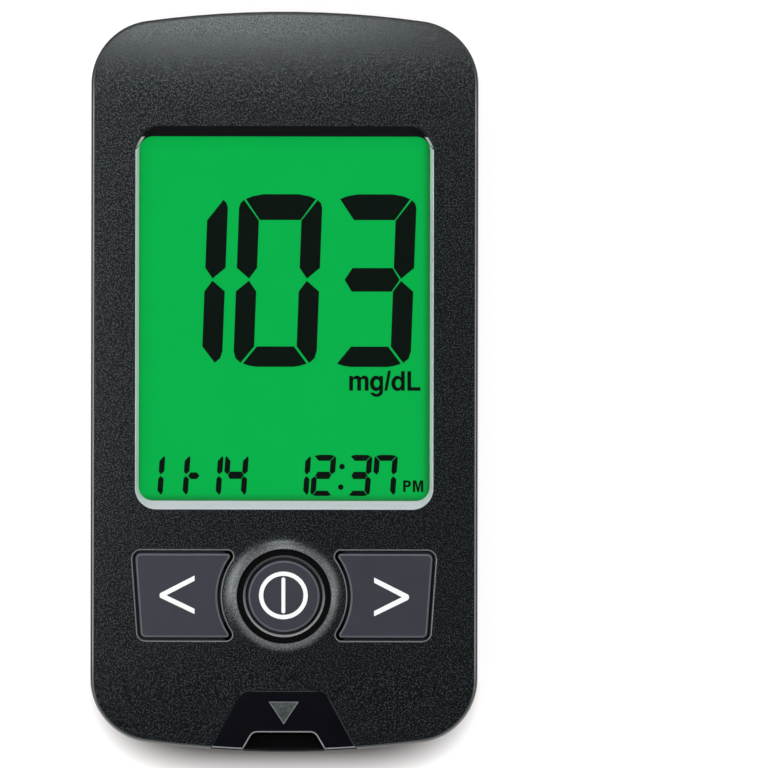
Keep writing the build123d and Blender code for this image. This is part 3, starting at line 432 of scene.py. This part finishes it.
def display_material(name, colour):
    """Backlit green display: even glow with painted shade beside the window's right, left and lower walls, fine film
    grain.
    """
    g = Graph(name)
    x, y, z = g.axes()
    # painted shade: glow and colour fall off beside the window's walls, most at the right, none at the top
    walls = g.product(g.ramp(x, 18.8, 19.9, 1.0, 0.36), g.ramp(x, -19.9, -19.5, 0.6, 1.0))
    walls = g.product(walls, g.ramp(y, -16.35, -15.3, 0.45, 1.0))
    film = g.spread(g.noise(0.12, 2.0), 0.99, 1.01)
    lit = g.product(walls, film, g.math("GREATER_THAN", z, PANEL_TOP - 0.05))
    margin = g.math("SUBTRACT", 1.0, walls, clamp=True)
    g.surface(g.mix(margin, g.vary(film, colour, 0.2, 0.3), (0.02, 0.05, 0.028, 1)), 0.6)
    g.put(g.shader.inputs["Emission Color"], g.mix(lit, (0, 0, 0, 1), shade(colour, 1.0)))
    g.shader.inputs["Emission Strength"].default_value = 0.8
    g.shader.inputs["Specular IOR Level"].default_value = 0.0
    return g.material


def lens_material(name):
    """Clear hard-coated window: a faint reflection, stronger at a slant and the same on both sides of the plate."""
    g = Graph(name)
    see = g.node("ShaderNodeBsdfTransparent")
    g.put(see.inputs["Color"], g.mix(g.spread(g.noise(6.0)), (0.985, 0.99, 0.988, 1), (0.995, 1.0, 0.997, 1)))
    gloss = g.node("ShaderNodeBsdfGlossy")
    gloss.inputs["Color"].default_value = (1, 1, 1, 1)
    g.put(gloss.inputs["Roughness"], g.spread(g.noise(2.0, 3.0), 0.04, 0.08))
    weight = g.node("ShaderNodeLayerWeight")
    weight.inputs["Blend"].default_value = 0.5
    grazing = g.math("POWER", weight.outputs["Facing"], 5.0)
    mixed = g.node("ShaderNodeMixShader")
    g.put(mixed.inputs[0], g.math("ADD", g.product(grazing, 0.9), 0.005))
    g.put(mixed.inputs[1], see.outputs[0])
    g.put(mixed.inputs[2], gloss.outputs[0])
    g.tree.nodes.remove(g.shader)
    g.put(g.output.inputs["Surface"], mixed.outputs[0])
    return g.material


def clear_plastic(name, tint):
    """Clear moulded acrylic, as the light guide."""
    g = Graph(name)
    g.surface(g.vary(g.spread(g.noise(4.0)), tint, 0.95, 1.0), g.spread(g.noise(0.5, 2.0), 0.12, 0.22))
    g.shader.inputs["Transmission Weight"].default_value = 0.8
    g.shader.inputs["IOR"].default_value = 1.49
    return g.material


BOARD_MIDDLE = 8.35  # height of the board's middle


def board_material(name):
    """Circuit board: green solder mask over a faint net of tracks, bare glass fibre at its edges."""
    g = Graph(name)
    net = g.node("ShaderNodeTexBrick")
    g.put(net.inputs["Vector"], g.coords)
    net.inputs["Scale"].default_value = 260.0
    net.inputs["Mortar Size"].default_value = 0.06
    net.inputs["Color1"].default_value = (0.006, 0.07, 0.022, 1)
    net.inputs["Color2"].default_value = (0.008, 0.09, 0.03, 1)
    net.inputs["Mortar"].default_value = (0.012, 0.14, 0.045, 1)
    from_middle = g.math("ABSOLUTE", g.math("SUBTRACT", g.axes()[2], BOARD_MIDDLE))
    weave = g.mix(g.spread(g.noise(0.25, 2.0)), (0.30, 0.28, 0.16, 1), (0.42, 0.40, 0.24, 1))
    colour = g.mix(g.below(from_middle, 0.55, 0.03), net.outputs["Color"], weave)
    g.surface(colour, g.spread(g.noise(1.5, 2.0), 0.3, 0.42), g.bump(net.outputs["Fac"], 0.03))
    return g.material


def ended_material(name, body_colour, end_colour, middle_x, half_length):
    """Ceramic capacitor: fired body between tinned ends."""
    g = Graph(name)
    from_middle = g.math("ABSOLUTE", g.math("SUBTRACT", g.axes()[0], middle_x))
    end = g.ramp(from_middle, half_length - 0.45, half_length - 0.4)
    speck = g.spread(g.noise(0.3, 3.0))
    colour = g.mix(end, g.vary(speck, body_colour, 0.85, 1.1), g.vary(speck, end_colour, 0.9, 1.05))
    g.surface(colour, g.ramp(speck, 0.0, 1.0, 0.35, 0.5), g.bump(speck, 0.004))
    g.put(g.shader.inputs["Metallic"], end)
    return g.material


def banded_rubber(name):
    """Elastomer connector: fine dark and pale layers along its length."""
    g = Graph(name)
    stripe = g.ramp(g.math("PINGPONG", g.axes()[0], 0.1), 0.04, 0.06)
    colour = g.mix(stripe, (0.02, 0.02, 0.022, 1), (0.32, 0.32, 0.33, 1))
    g.surface(colour, g.spread(g.noise(0.4), 0.6, 0.75), g.bump(stripe, 0.004))
    return g.material


CAPACITOR_X = 11.5  # middle of the capacitors' row
BLACK = (0.0070, 0.0084, 0.0092)
SMOOTH_BLACK = (0.0024, 0.0024, 0.0032)
finishes = {
    "cover_black": cover_material("cover_black", BLACK, SMOOTH_BLACK, (0.12, 0.12, 0.118)),
    "port_black": port_material("port_black", (0.0010, 0.0010, 0.0024), (0.40, 0.40, 0.39)),
    "key_grey": key_material("key_grey", (0.0170, 0.0205, 0.0335), (0.14, 0.155, 0.18)),
    "trim_silver": silver_paint("trim_silver", (0.73, 0.79, 0.82)),
    "lens_clear": lens_material("lens_clear"),
    "tape_black": moulded("tape_black", (0.01, 0.01, 0.011), 0.7, 0.4, 0.004),
    "gasket_black": moulded("gasket_black", (0.02, 0.02, 0.021), 0.85, 0.25, 0.03, 0.25),
    "panel_green": display_material("panel_green", (0.0032, 0.404, 0.066)),
    "frame_white": moulded("frame_white", (0.72, 0.72, 0.7), 0.5, 0.4, 0.004, 0.04),
    "guide_clear": clear_plastic("guide_clear", (0.85, 0.95, 0.88)),
    "reflector_white": moulded("reflector_white", (0.8, 0.8, 0.79), 0.4, 0.6, 0.002, 0.03),
    "lamp_white": moulded("lamp_white", (0.75, 0.74, 0.62), 0.35, 0.5, 0.002, 0.06),
    "elastomer_grey": banded_rubber("elastomer_grey"),
    "board_green": board_material("board_green"),
    "screw_steel": metal("screw_steel", (0.5, 0.5, 0.52), 0.3),
    "switch_black": moulded("switch_black", (0.02, 0.02, 0.022), 0.45, 0.3, 0.004),
    "plunger_white": moulded("plunger_white", (0.6, 0.6, 0.58), 0.4, 0.4, 0.003, 0.05),
    "connector_black": moulded("connector_black", (0.016, 0.016, 0.018), 0.4, 0.3, 0.004),
    "contact_gold": metal("contact_gold", (0.83, 0.6, 0.25), 0.25),
    "contact_steel": metal("contact_steel", (0.56, 0.55, 0.52), 0.3, (1, 1, 6)),
    "chip_black": moulded("chip_black", (0.018, 0.018, 0.02), 0.55, 0.12, 0.006, 0.2),
    "crystal_metal": metal("crystal_metal", (0.6, 0.6, 0.62), 0.28, (1, 5, 5)),
    "capacitor_tan": ended_material("capacitor_tan", (0.3, 0.2, 0.11), (0.6, 0.6, 0.6), CAPACITOR_X, 1.6),
    "buzzer_black": moulded("buzzer_black", (0.015, 0.015, 0.016), 0.4, 0.5, 0.003),
    "cell_steel": metal("cell_steel", (0.6, 0.6, 0.61), 0.24, (1, 1, 1), 0.06, 0.001),
}
for node in nodes.values():
    for place in node.material_slots:
        place.material = finishes[place.material.name]

ink_dark = moulded("ink_dark", (0.0050, 0.0086, 0.0068), 0.7, 0.15, 0.001, 0.05, specular=0.0)
ink_white = moulded("ink_white", (0.96, 0.97, 0.97), 0.5, 0.2, 0.002, 0.03)


# --- display --------------------------------------------------------------------------------------


def digit(shown, right, mid, size):
    """Outlines of the lit segments (letters a to g) of a leaning seven-segment digit, mitred by hairline gaps."""
    width, up, down, bar, top_bar, mid_bar, low_bar, hair, lean = size

    def at(side, u, v):
        x = right - u if side else right - width + u
        return (x + lean * v, mid + v)

    def upper(side):
        points = [(0.23 * bar, up - 0.276 * bar), (0.07 * bar, up - 0.44 * bar), (0, up - 0.68 * bar)]
        points += [(0, mid_bar / 2), (0.62 * bar, 1.3 * hair), (bar, mid_bar / 2)]
        points += [(bar, up - top_bar - 0.7 * hair)]
        return [at(side, u, v) for u, v in points]

    def lower(side):
        points = [(0.62 * bar, -1.3 * hair), (bar, -mid_bar / 2), (bar, low_bar - down)]
        points += [(0.36 * bar, 0.19 * bar - down), (0.1 * bar, 0.42 * bar - down)]
        points += [(0, 0.78 * bar - down), (0, -mid_bar / 2)]
        return [at(side, u, v) for u, v in points]

    def both(points):
        return [at(0, u, v) for u, v in points] + [at(1, u, v) for u, v in reversed(points)]

    outlines = {
        "a": both(
            [(bar + hair, up - top_bar), (0.32 * bar, up - 0.236 * bar), (0.64 * bar, up - 0.1 * bar), (1.18 * bar, up)]
        ),
        "b": upper(1),
        "c": lower(1),
        "d": both(
            [(1.13 * bar, low_bar - down), (0.47 * bar, 0.158 * bar - down), (0.8 * bar, 0.05 * bar - down)]
            + [(1.13 * bar, -down)]
        ),
        "e": lower(0),
        "f": upper(0),
        "g": both([(1.06 * bar, -mid_bar / 2), (0.69 * bar, 0.0), (1.06 * bar, mid_bar / 2)]),
    }
    return [outlines[letter] for letter in shown]


SEGMENTS = {"0": "abcdef", "1": "bc", "2": "abdeg", "3": "abcdg", "4": "bcfg", "7": "abcf"}
# Width, height above and below the middle, thickness of the side, top, middle and low bars, gap, lean
LARGE = (11.36, 11.67, 11.9, 2.78, 3.52, 3.22, 2.78, 0.11, 0.036)
SMALL = (3.2, 2.81, 2.81, 0.75, 0.82, 1.0, 0.72, 0.07, 0.07)
LARGE_MIDDLE, SMALL_MIDDLE = 13.92, -12.79  # height on the display of each row's middle


def display_piece(name, outlines):
    return prisms(name, outlines, PANEL_TOP, PANEL_TOP + FILM, ink_dark, "housing")


reading = []
for character, right in (("1", -8.11), ("0", 4.77), ("3", 17.63)):
    reading += digit(SEGMENTS[character], right, LARGE_MIDDLE, LARGE)
display_piece("display_reading", reading)

date = []
for character, right in (("1", -16.42), ("1", -12.98), ("1", -8.47), ("4", -5.02)):
    date += digit(SEGMENTS[character], right, SMALL_MIDDLE, SMALL)
dash_tip, dash_corner, dash_half = 0.79, 0.41, 0.46
dash_x, dash_y = -12.37, SMALL_MIDDLE - 0.08
date.append(
    [
        (dash_x - dash_tip, dash_y),
        (dash_x - dash_corner, dash_y - dash_half),
        (dash_x + dash_corner, dash_y - dash_half),
        (dash_x + dash_tip, dash_y),
        (dash_x + dash_corner, dash_y + dash_half),
        (dash_x - dash_corner, dash_y + dash_half),
    ]
)
display_piece("display_date", date)

clock = []
for character, right in (("1", 3.49), ("2", 6.93), ("3", 11.86), ("7", 15.34)):
    clock += digit(SEGMENTS[character], right, SMALL_MIDDLE, SMALL)
for x, y in ((7.89, SMALL_MIDDLE + 1.2), (7.72, SMALL_MIDDLE - 1.6)):
    clock.append(arc_points(x, y, 0.38, 0, 345, 24))
display_piece("display_clock", clock)


def oval(x, y, rx, ry, first, last, count):
    """Points on an upright oval, angles in degrees."""
    return [(x + rx * px, y + ry * py) for px, py in arc_points(0, 0, 1, first, last, count)]


def glyph(letter):
    """Outlines of one plain bold letter, in units of PITCH, with each hole after its outline."""
    if letter == "m":
        outline = [(0, 0), (0, 14.7), (3.6, 14.7), (3.6, 13.2)]
        outline += oval(7.7, 11.3, 4.1, 3.8, 145, 35, 8) + oval(15.2, 11.0, 4.1, 4.1, 140, 0, 10)
        outline += [(19.3, 0), (15.5, 0)] + oval(13.65, 9.8, 1.85, 1.9, 0, 180, 9)
        outline += [(11.8, 0), (8.0, 0)] + oval(5.95, 9.8, 2.05, 1.9, 0, 180, 9) + [(3.8, 0)]
        return [outline]
    if letter == "d":
        outline = [(13.4, 0), (9.8, 0), (9.8, 1.5)] + oval(6.1, 7.3, 6.1, 7.7, -55, -305, 26)
        return [outline + [(9.6, 19.6), (13.4, 19.6)], oval(6.9, 7.3, 2.9, 4.3, 0, 345, 24)]
    if letter == "g":
        outline = [(13.1, 14.7), (9.5, 14.7), (9.5, 13.2)] + oval(6.1, 7.3, 6.1, 7.7, 55, 305, 26)
        outline += [(9.4, -0.6)] + oval(6.6, -0.9, 2.7, 2.2, 0, -150, 10) + [(0.5, -1.7)]
        outline += oval(6.7, -0.9, 6.4, 5.3, 195, 360, 16)
        return [outline, oval(6.9, 7.3, 2.9, 4.0, 0, 345, 24)]
    if letter == "P":
        outline = [(0, 0), (0, 11.5)] + oval(4.4, 8.1, 3.5, 3.4, 90, -90, 14) + [(2.5, 4.7), (2.5, 0)]
        return [outline, [(2.5, 6.8)] + oval(4.1, 8.1, 1.1, 1.3, -90, 90, 9) + [(2.5, 9.4)]]
    return {
        "/": [[(0, 0), (3.0, 0), (6.6, 20.0), (3.6, 20.0)]],
        "L": [[(0, 0), (0, 19.5), (3.8, 19.5), (3.8, 3.6), (13.1, 3.6), (13.1, 0)]],
        "M": [
            [(0, 0), (0, 11.5), (3.4, 11.5), (5.2, 4.4), (7.0, 11.5), (10.4, 11.5), (10.4, 0)]
            + [(8.0, 0), (8.0, 8.2), (6.1, 0), (4.3, 0), (2.4, 8.2), (2.4, 0)]
        ],
    }[letter]


def letters(name, placed, base, scale, material, body):
    """Flat letters on the display: each letter with the x of its left side, on a common baseline."""
    curve = bpy.data.curves.new(name, "CURVE")
    curve.dimensions = "2D"
    curve.fill_mode = "BOTH"
    curve.extrude = FILM / 2 * MM
    for letter, left in placed:
        for outline in glyph(letter):
            spline = curve.splines.new("POLY")
            spline.points.add(len(outline) - 1)
            for point, (x, y) in zip(spline.points, outline):
                point.co = ((left + x * scale) * MM, (base + y * scale) * MM, 0.0, 1.0)
            spline.use_cyclic_u = True
    source = bpy.data.objects.new(name, curve)
    bpy.context.scene.collection.objects.link(source)
    bpy.context.view_layer.update()
    mesh = bpy.data.meshes.new_from_object(source.evaluated_get(bpy.context.evaluated_depsgraph_get()))
    bpy.data.objects.remove(source)
    for v in mesh.vertices:
        v.co.z += (PANEL_TOP + FILM / 2) * MM
    mesh.materials.clear()
    mesh.materials.append(material)
    piece = bpy.data.objects.new(name, mesh)
    bpy.context.scene.collection.objects.link(piece)
    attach(piece, body)


PITCH = 0.137  # unit of the letters' outlines, in millimetres
unit = [("m", 8.85), ("g", 11.67), ("/", 13.64), ("d", 14.6), ("L", 16.79)]
letters("display_unit", unit, -1.22, PITCH, ink_dark, "housing")
letters("display_half_day", [("P", 16.24), ("M", 17.56)], -15.03, PITCH, ink_dark, "housing")


# --- marks on the keys and the strip port ---------------------------------------------------------


left_chevron = [(-17.08, -28.96), (-12.36, -26.48), (-12.36, -27.21), (-16.2, -29.23)]
left_chevron += [(-12.36, -31.11), (-12.36, -31.84), (-17.08, -29.56), (-17.14, -29.26)]
right_chevron = [(16.86, -29.05), (12.26, -26.71), (12.26, -27.44), (16.03, -29.44)]
right_chevron += [(12.26, -31.38), (12.26, -32.11), (16.86, -29.83), (17.02, -29.64), (17.02, -29.25)]
LEFT_SHIFT, LEFT_TOP = 0.16, -26.48
RIGHT_SHIFT, RIGHT_TOP = 0.04, -26.71
SHORTER = 0.98  # both chevrons are a little shorter than their outlines, from the top
left_chevron = [(x + LEFT_SHIFT, LEFT_TOP + (y - LEFT_TOP) * SHORTER) for x, y in left_chevron]
right_chevron = [(x + RIGHT_SHIFT, RIGHT_TOP + (y - RIGHT_TOP) * SHORTER) for x, y in right_chevron]
for name, outline, body in (("left_mark", left_chevron, "left_key"), ("right_mark", right_chevron, "right_key")):
    arms = [outline[:4] + outline[7:], [outline[3]] + outline[4:7] + outline[7:8]]
    prisms(name, arms, KEY_TOP, KEY_TOP + PRINT, ink_white, body)

mark_x, mark_y = -0.08, -29.17
bar_end, bar_half = 2.19, 0.26  # the power mark's bar: its ends' distance from the middle, and half its width
ring_piece(
    "power_mark_ring",
    oval(mark_x, mark_y, 3.33, 3.25, 0, 356.25, 96),
    oval(mark_x, mark_y, 2.74, 2.66, 0, 356.25, 96),
    KEY_TOP,
    KEY_TOP + PRINT,
    ink_white,
    "power_key",
)
bar = arc_points(mark_x, mark_y + bar_end, bar_half, 0, 180, 13)
bar += arc_points(mark_x, mark_y - bar_end, bar_half, 180, 360, 13)
prisms("power_mark_bar", [bar], KEY_TOP, KEY_TOP + PRINT, ink_white, "power_key")

arrow = [(-2.07, -43.68), (2.04, -43.68), (-0.01, -46.77)]
arrow_middle_y = -44.72
inset = 0.1  # share of the way to the middle that the arrow's edge line takes up
arrow_inner = [(x - x * inset, y + (arrow_middle_y - y) * inset) for x, y in arrow]
arrow_grey = moulded("arrow_grey", (0.038, 0.048, 0.048), 0.5, 0.45, 0.05, 1.0)
# the arrow's raised edge is paler: a painted highlight
arrow_edge_highlight = moulded("arrow_edge_highlight", (0.18, 0.19, 0.19), 0.5, 0.25, 0.004, 0.1)


def sunk(y):
    return level_at(y) - PRINT


def raised(y):
    return level_at(y) + PRINT


def raised_edge(y):
    return level_at(y) + 2 * PRINT


prisms("port_arrow", [arrow_inner], sunk, raised, arrow_grey, "housing")
ring_piece("port_arrow_edge", arrow, arrow_inner, sunk, raised_edge, arrow_edge_highlight, "housing")


# --- screws, cells, chip leads --------------------------------------------------------------------


def skin(name, start, loops, end, material, body):
    """A closed piece skinned over rings of points, from a first point to a last one."""
    count = len(loops[0])
    verts = [start] + [v for loop in loops for v in loop] + [end]
    faces = []
    for k in range(count):
        n = (k + 1) % count
        faces.append((0, 1 + n, 1 + k))
        for row in range(len(loops) - 1):
            low, high = 1 + row * count, 1 + (row + 1) * count
            faces.append((low + k, low + n, high + n, high + k))
        last = 1 + (len(loops) - 1) * count
        faces.append((last + k, last + n, len(verts) - 1))
    return mesh_object(name, verts, faces, material, body, smooth=True)


def circle(x, y, z, radius, count):
    """A ring of points; the radius is a number or a function of the angle."""
    angles = [2 * pi * k / count for k in range(count)]
    return [(x + number_at(radius, a) * cos(a), y + number_at(radius, a) * sin(a), z) for a in angles]


SCREW_POINTS = 48  # so that the recess's corners, at 15 degrees, fall on points
SCREW_PITCH = 0.8
RECESS_REACH = 1.12
RECESS_DEPTH = 0.85
ROOT, CREST = 0.78, 0.98  # radii of the thread
THREAD_STEPS = 54


def cross_radius(angle):
    """Distance to the outline of a cross recess, whose arms are 15 degrees wide on each side."""
    from_arm = abs((angle + pi / 4) % (pi / 2) - pi / 4)
    if from_arm <= radians(15.01):
        return RECESS_REACH / cos(from_arm)
    return RECESS_REACH * sin(radians(15)) / cos(radians(15)) / sin(from_arm)


def screw(name, x, y):
    """A pan-head screw: cross recess in the head, rolled thread on the shank."""
    head, seat, tip = 2.6, 4.0, 12.0
    loops = [circle(x, y, head + RECESS_DEPTH, lambda a: 0.6 * cross_radius(a), SCREW_POINTS)]
    loops.append(circle(x, y, head + 0.04, cross_radius, SCREW_POINTS))
    profile = [(1.25, head), (1.6, head + 0.02), (1.8, head + 0.14), (1.9, head + 0.42), (1.9, seat), (CREST, seat)]
    for radius, level in profile:
        loops.append(circle(x, y, level, radius, SCREW_POINTS))
    for step in range(THREAD_STEPS + 1):
        level = seat + 0.1 + (tip - seat - 0.9) * step / THREAD_STEPS
        taper = min(1.0, (tip - level) / 1.6)

        def thread(angle, level=level, taper=taper):
            turn = (level / SCREW_PITCH - angle / (2 * pi)) % 1.0
            return (ROOT + (CREST - ROOT) * max(0.0, 1 - abs(turn - 0.5) * 3.2)) * taper

        loops.append(circle(x, y, level, thread, SCREW_POINTS))
    first, last = (x, y, head + RECESS_DEPTH), (x, y, tip - 0.4)
    return skin(name, first, loops, last, finishes["screw_steel"], "housing")


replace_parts(screw("housing_screw_left", -19.8, 42.1), "housing_screws")
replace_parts(screw("housing_screw_right", 19.8, 42.1), "housing_screws")

CELL_LOW, CELL_HIGH, CELL_X, CELL_Y = 1.8, 5.0, 10.3, 14.0
# Radius and height of the can's outline, then of the groove and the cap
CELL_PROFILE = [(9.3, 0.02), (9.6, 0.0), (9.85, 0.05), (10.0, 0.22), (10.0, 2.75), (9.9, 2.9), (9.55, 2.96), (9.2, 2.9)]
CELL_PROFILE += [(9.15, 2.7), (8.95, 2.7), (8.85, 3.0), (8.6, 3.15), (8.2, 3.2)]
plus = [(0.5, 0.5), (0.5, 1.8), (-0.5, 1.8), (-0.5, 0.5), (-1.8, 0.5), (-1.8, -0.5)]
plus += [(-x, -y) for x, y in plus]
plus_grey = metal("plus_grey", (0.2, 0.2, 0.21), 0.5)
for name, x in (("battery_left", -CELL_X), ("battery_right", CELL_X)):
    loops = [circle(x, CELL_Y, CELL_LOW + level, radius, 96) for radius, level in CELL_PROFILE]
    ends = [(x, CELL_Y, CELL_LOW + 0.02), (x, CELL_Y, CELL_HIGH)]
    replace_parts(skin(name + "_cell", ends[0], loops, ends[1], finishes["cell_steel"], "housing"), name)
    outline = [(x + px, CELL_Y + py) for px, py in plus]
    prisms(name + "_plus", [outline], CELL_LOW, CELL_LOW + 0.03, plus_grey, "housing")


def leads(name, node, pitch, width, sides):
    """Bent tinned leads along a chip's sides, from its body to the board."""
    low, high = (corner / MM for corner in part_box(node))
    body_top = high.z
    verts, faces = [], []
    path = [(-0.1, -0.62), (0.22, -0.62), (0.3, -0.55), (0.42, -0.08), (0.48, -0.02), (0.85, -0.02)]
    thick = 0.12
    ring = path + [(u, v - thick) for u, v in reversed(path)]
    for axis, sign in sides:
        span = (high.y - low.y) if axis == 0 else (high.x - low.x)
        middle = (high.y + low.y) / 2 if axis == 0 else (high.x + low.x) / 2
        edge = high[axis] if sign > 0 else low[axis]
        number = int((span - 1.0) / pitch) + 1
        for k in range(number):
            along = middle + (k - (number - 1) / 2) * pitch
            start, count = len(verts), len(ring)
            for half in (-width / 2, width / 2):
                for u, v in ring:
                    out, side = edge + sign * u, along + half
                    verts.append((out, side, body_top + v) if axis == 0 else (side, out, body_top + v))
            for j in range(count // 2 - 1):
                other = count - 2 - j
                for end in (start, start + count):
                    faces.append((end + j, end + j + 1, end + other, end + other + 1))
            for j in range(count):
                n = (j + 1) % count
                faces.append((start + j, start + n, start + count + n, start + count + j))
    return mesh_object(name, verts, faces, finishes["contact_steel"], "housing")


leads("controller_leads", "controller_chip", 0.65, 0.28, ((0, 1), (0, -1), (1, 1), (1, -1)))
leads("measuring_leads", "measuring_chip", 1.0, 0.4, ((1, 1), (1, -1)))


# --- floor, light, camera -------------------------------------------------------------------------

# Less floor glow round the meter's lower end paints a shadow there, which the lamps' own shadow deepens
SHADOW_Y, SHADOW_LENGTH, SHADOW_WIDTH = -30.0, 24.4, 27.5  # middle and half sizes of the floor's part with less glow
SHADOW_END, SHADOW_START = -46.5, -41.0  # only the part below these keeps its shadow
FLOOR_GLOW = 0.84

floor_mesh = bpy.data.meshes.new("floor")
floor_mesh.from_pydata([(-3, -3, 0), (3, -3, 0), (3, 3, 0), (-3, 3, 0)], [], [(0, 1, 2, 3)])
floor = bpy.data.objects.new("floor", floor_mesh)
bpy.context.scene.collection.objects.link(floor)
g = Graph("floor_white")
g.surface(g.mix(g.spread(g.noise(60.0)), (0.325, 0.303, 0.296, 1), (0.335, 0.313, 0.306, 1)), 0.9)
g.shader.inputs["Specular IOR Level"].default_value = 0.0
rays = g.node("ShaderNodeLightPath")
seen = g.greatest(*(rays.outputs[kind] for kind in ("Is Camera Ray", "Is Glossy Ray", "Is Transmission Ray")))
glow = g.node("ShaderNodeEmission")
glow.inputs["Color"].default_value = (1, 1, 1, 1)
x, y = g.axes()[:2]
along = g.math("DIVIDE", g.math("SUBTRACT", y, SHADOW_Y), SHADOW_LENGTH)
across = g.math("DIVIDE", x, SHADOW_WIDTH)
from_middle = g.math("ADD", *(g.math("POWER", g.math("ABSOLUTE", part), 4.0) for part in (along, across)))
clear = g.greatest(g.ramp(from_middle, 0.5, 1.0), g.ramp(y, SHADOW_END, SHADOW_START))
g.put(glow.inputs["Strength"], g.product(seen, clear, FLOOR_GLOW))
total = g.node("ShaderNodeAddShader")
g.put(total.inputs[0], g.shader.outputs[0])
g.put(total.inputs[1], glow.outputs[0])
g.put(g.output.inputs["Surface"], total.outputs[0])
floor_mesh.materials.append(g.material)

# Upright part of a direction (0 level or downwards, 1 straight up) and how bright the studio is there
SKY_LEVELS = [(0.0, 0.12), (0.3, 0.05), (0.51, 0.05), (0.55, 0.3), (0.63, 1.2), (0.75, 1.7), (0.88, 0.12), (1.0, 0.02)]
SKY_LEAN = (0.0, -0.1, 0.0)  # the side at the meter's lower end is a little brighter

world = bpy.data.worlds.new("studio")
bpy.context.scene.world = world
world.use_nodes = True
tree = world.node_tree
direction = tree.nodes.new("ShaderNodeTexCoord")
split_direction = tree.nodes.new("ShaderNodeSeparateXYZ")
sky = tree.nodes.new("ShaderNodeValToRGB")
tree.links.new(direction.outputs["Generated"], split_direction.inputs[0])
tree.links.new(split_direction.outputs["Z"], sky.inputs[0])
lean = tree.nodes.new("ShaderNodeVectorMath")
lean.operation = "DOT_PRODUCT"
lean.inputs[1].default_value = SKY_LEAN
tree.links.new(direction.outputs["Generated"], lean.inputs[0])
strength = tree.nodes.new("ShaderNodeMath")
strength.operation = "ADD"
strength.inputs[1].default_value = 1.0
tree.links.new(lean.outputs["Value"], strength.inputs[0])
tree.links.new(strength.outputs[0], tree.nodes["Background"].inputs["Strength"])
tree.links.new(sky.outputs["Color"], tree.nodes["Background"].inputs["Color"])
while len(sky.color_ramp.elements) < len(SKY_LEVELS):
    sky.color_ramp.elements.new(0.5)
for element, (place, level) in zip(sky.color_ramp.elements, SKY_LEVELS):
    element.position = place
for element, (place, level) in zip(sky.color_ramp.elements, SKY_LEVELS):
    element.color = (level, level, level, 1)


def lamp(name, tilt, turn, distance, size, share):
    """A soft square lamp aimed at the meter: angles in degrees from upright and round from +Y, distance and size in
    metres. Share is how much of a white level surface's brightness it gives."""
    light = bpy.data.lights.new(name, "AREA")
    light.size = size
    made = bpy.data.objects.new(name, light)
    tilt, turn = radians(tilt), radians(turn)
    light.energy = pi**2 * distance**2 * share / cos(tilt)
    out = Vector((sin(tilt) * sin(turn), sin(tilt) * cos(turn), cos(tilt)))
    made.location = out * distance
    made.rotation_mode = "QUATERNION"
    made.rotation_quaternion = out.to_track_quat("Z", "Y")
    made.visible_camera = False
    bpy.context.scene.collection.objects.link(made)


lamp("key_lamp", 21.5, -6, 0.27, 0.05, 0.068)
lamp("near_lamp", 25.5, -88, 0.22, 0.09, 0.22)
lamp("top_lamp", 46, 0, 0.8, 0.22, 0.05)
lamp("left_lamp", 46, -95, 0.5, 0.16, 0.03)
lamp("right_lamp", 46, 95, 0.6, 0.2, 0.05)
lamp("right_near_lamp", 28, 80, 0.22, 0.08, 0.06)

SEEN_WIDTH = 104.8 * MM  # width of the picture at the level of the face
CAMERA_X, CAMERA_Y, CAMERA_ROLL = 13.6, -0.3, 0.1  # millimetres and degrees

camera_data = bpy.data.cameras.new("camera")
camera_data.lens = 1500.0
camera_data.sensor_width = 36.0
camera_data.clip_start = 0.1
camera_data.clip_end = 20.0
camera = bpy.data.objects.new("camera", camera_data)
camera_height = FACE * MM + SEEN_WIDTH / camera_data.sensor_width * camera_data.lens
camera.location = (CAMERA_X * MM, CAMERA_Y * MM, camera_height)
camera.rotation_euler = (0.0, 0.0, radians(CAMERA_ROLL))
bpy.context.scene.collection.objects.link(camera)
bpy.context.scene.camera = camera
bpy.context.scene.view_settings.view_transform = "Standard"

bpy.context.view_layer.update()
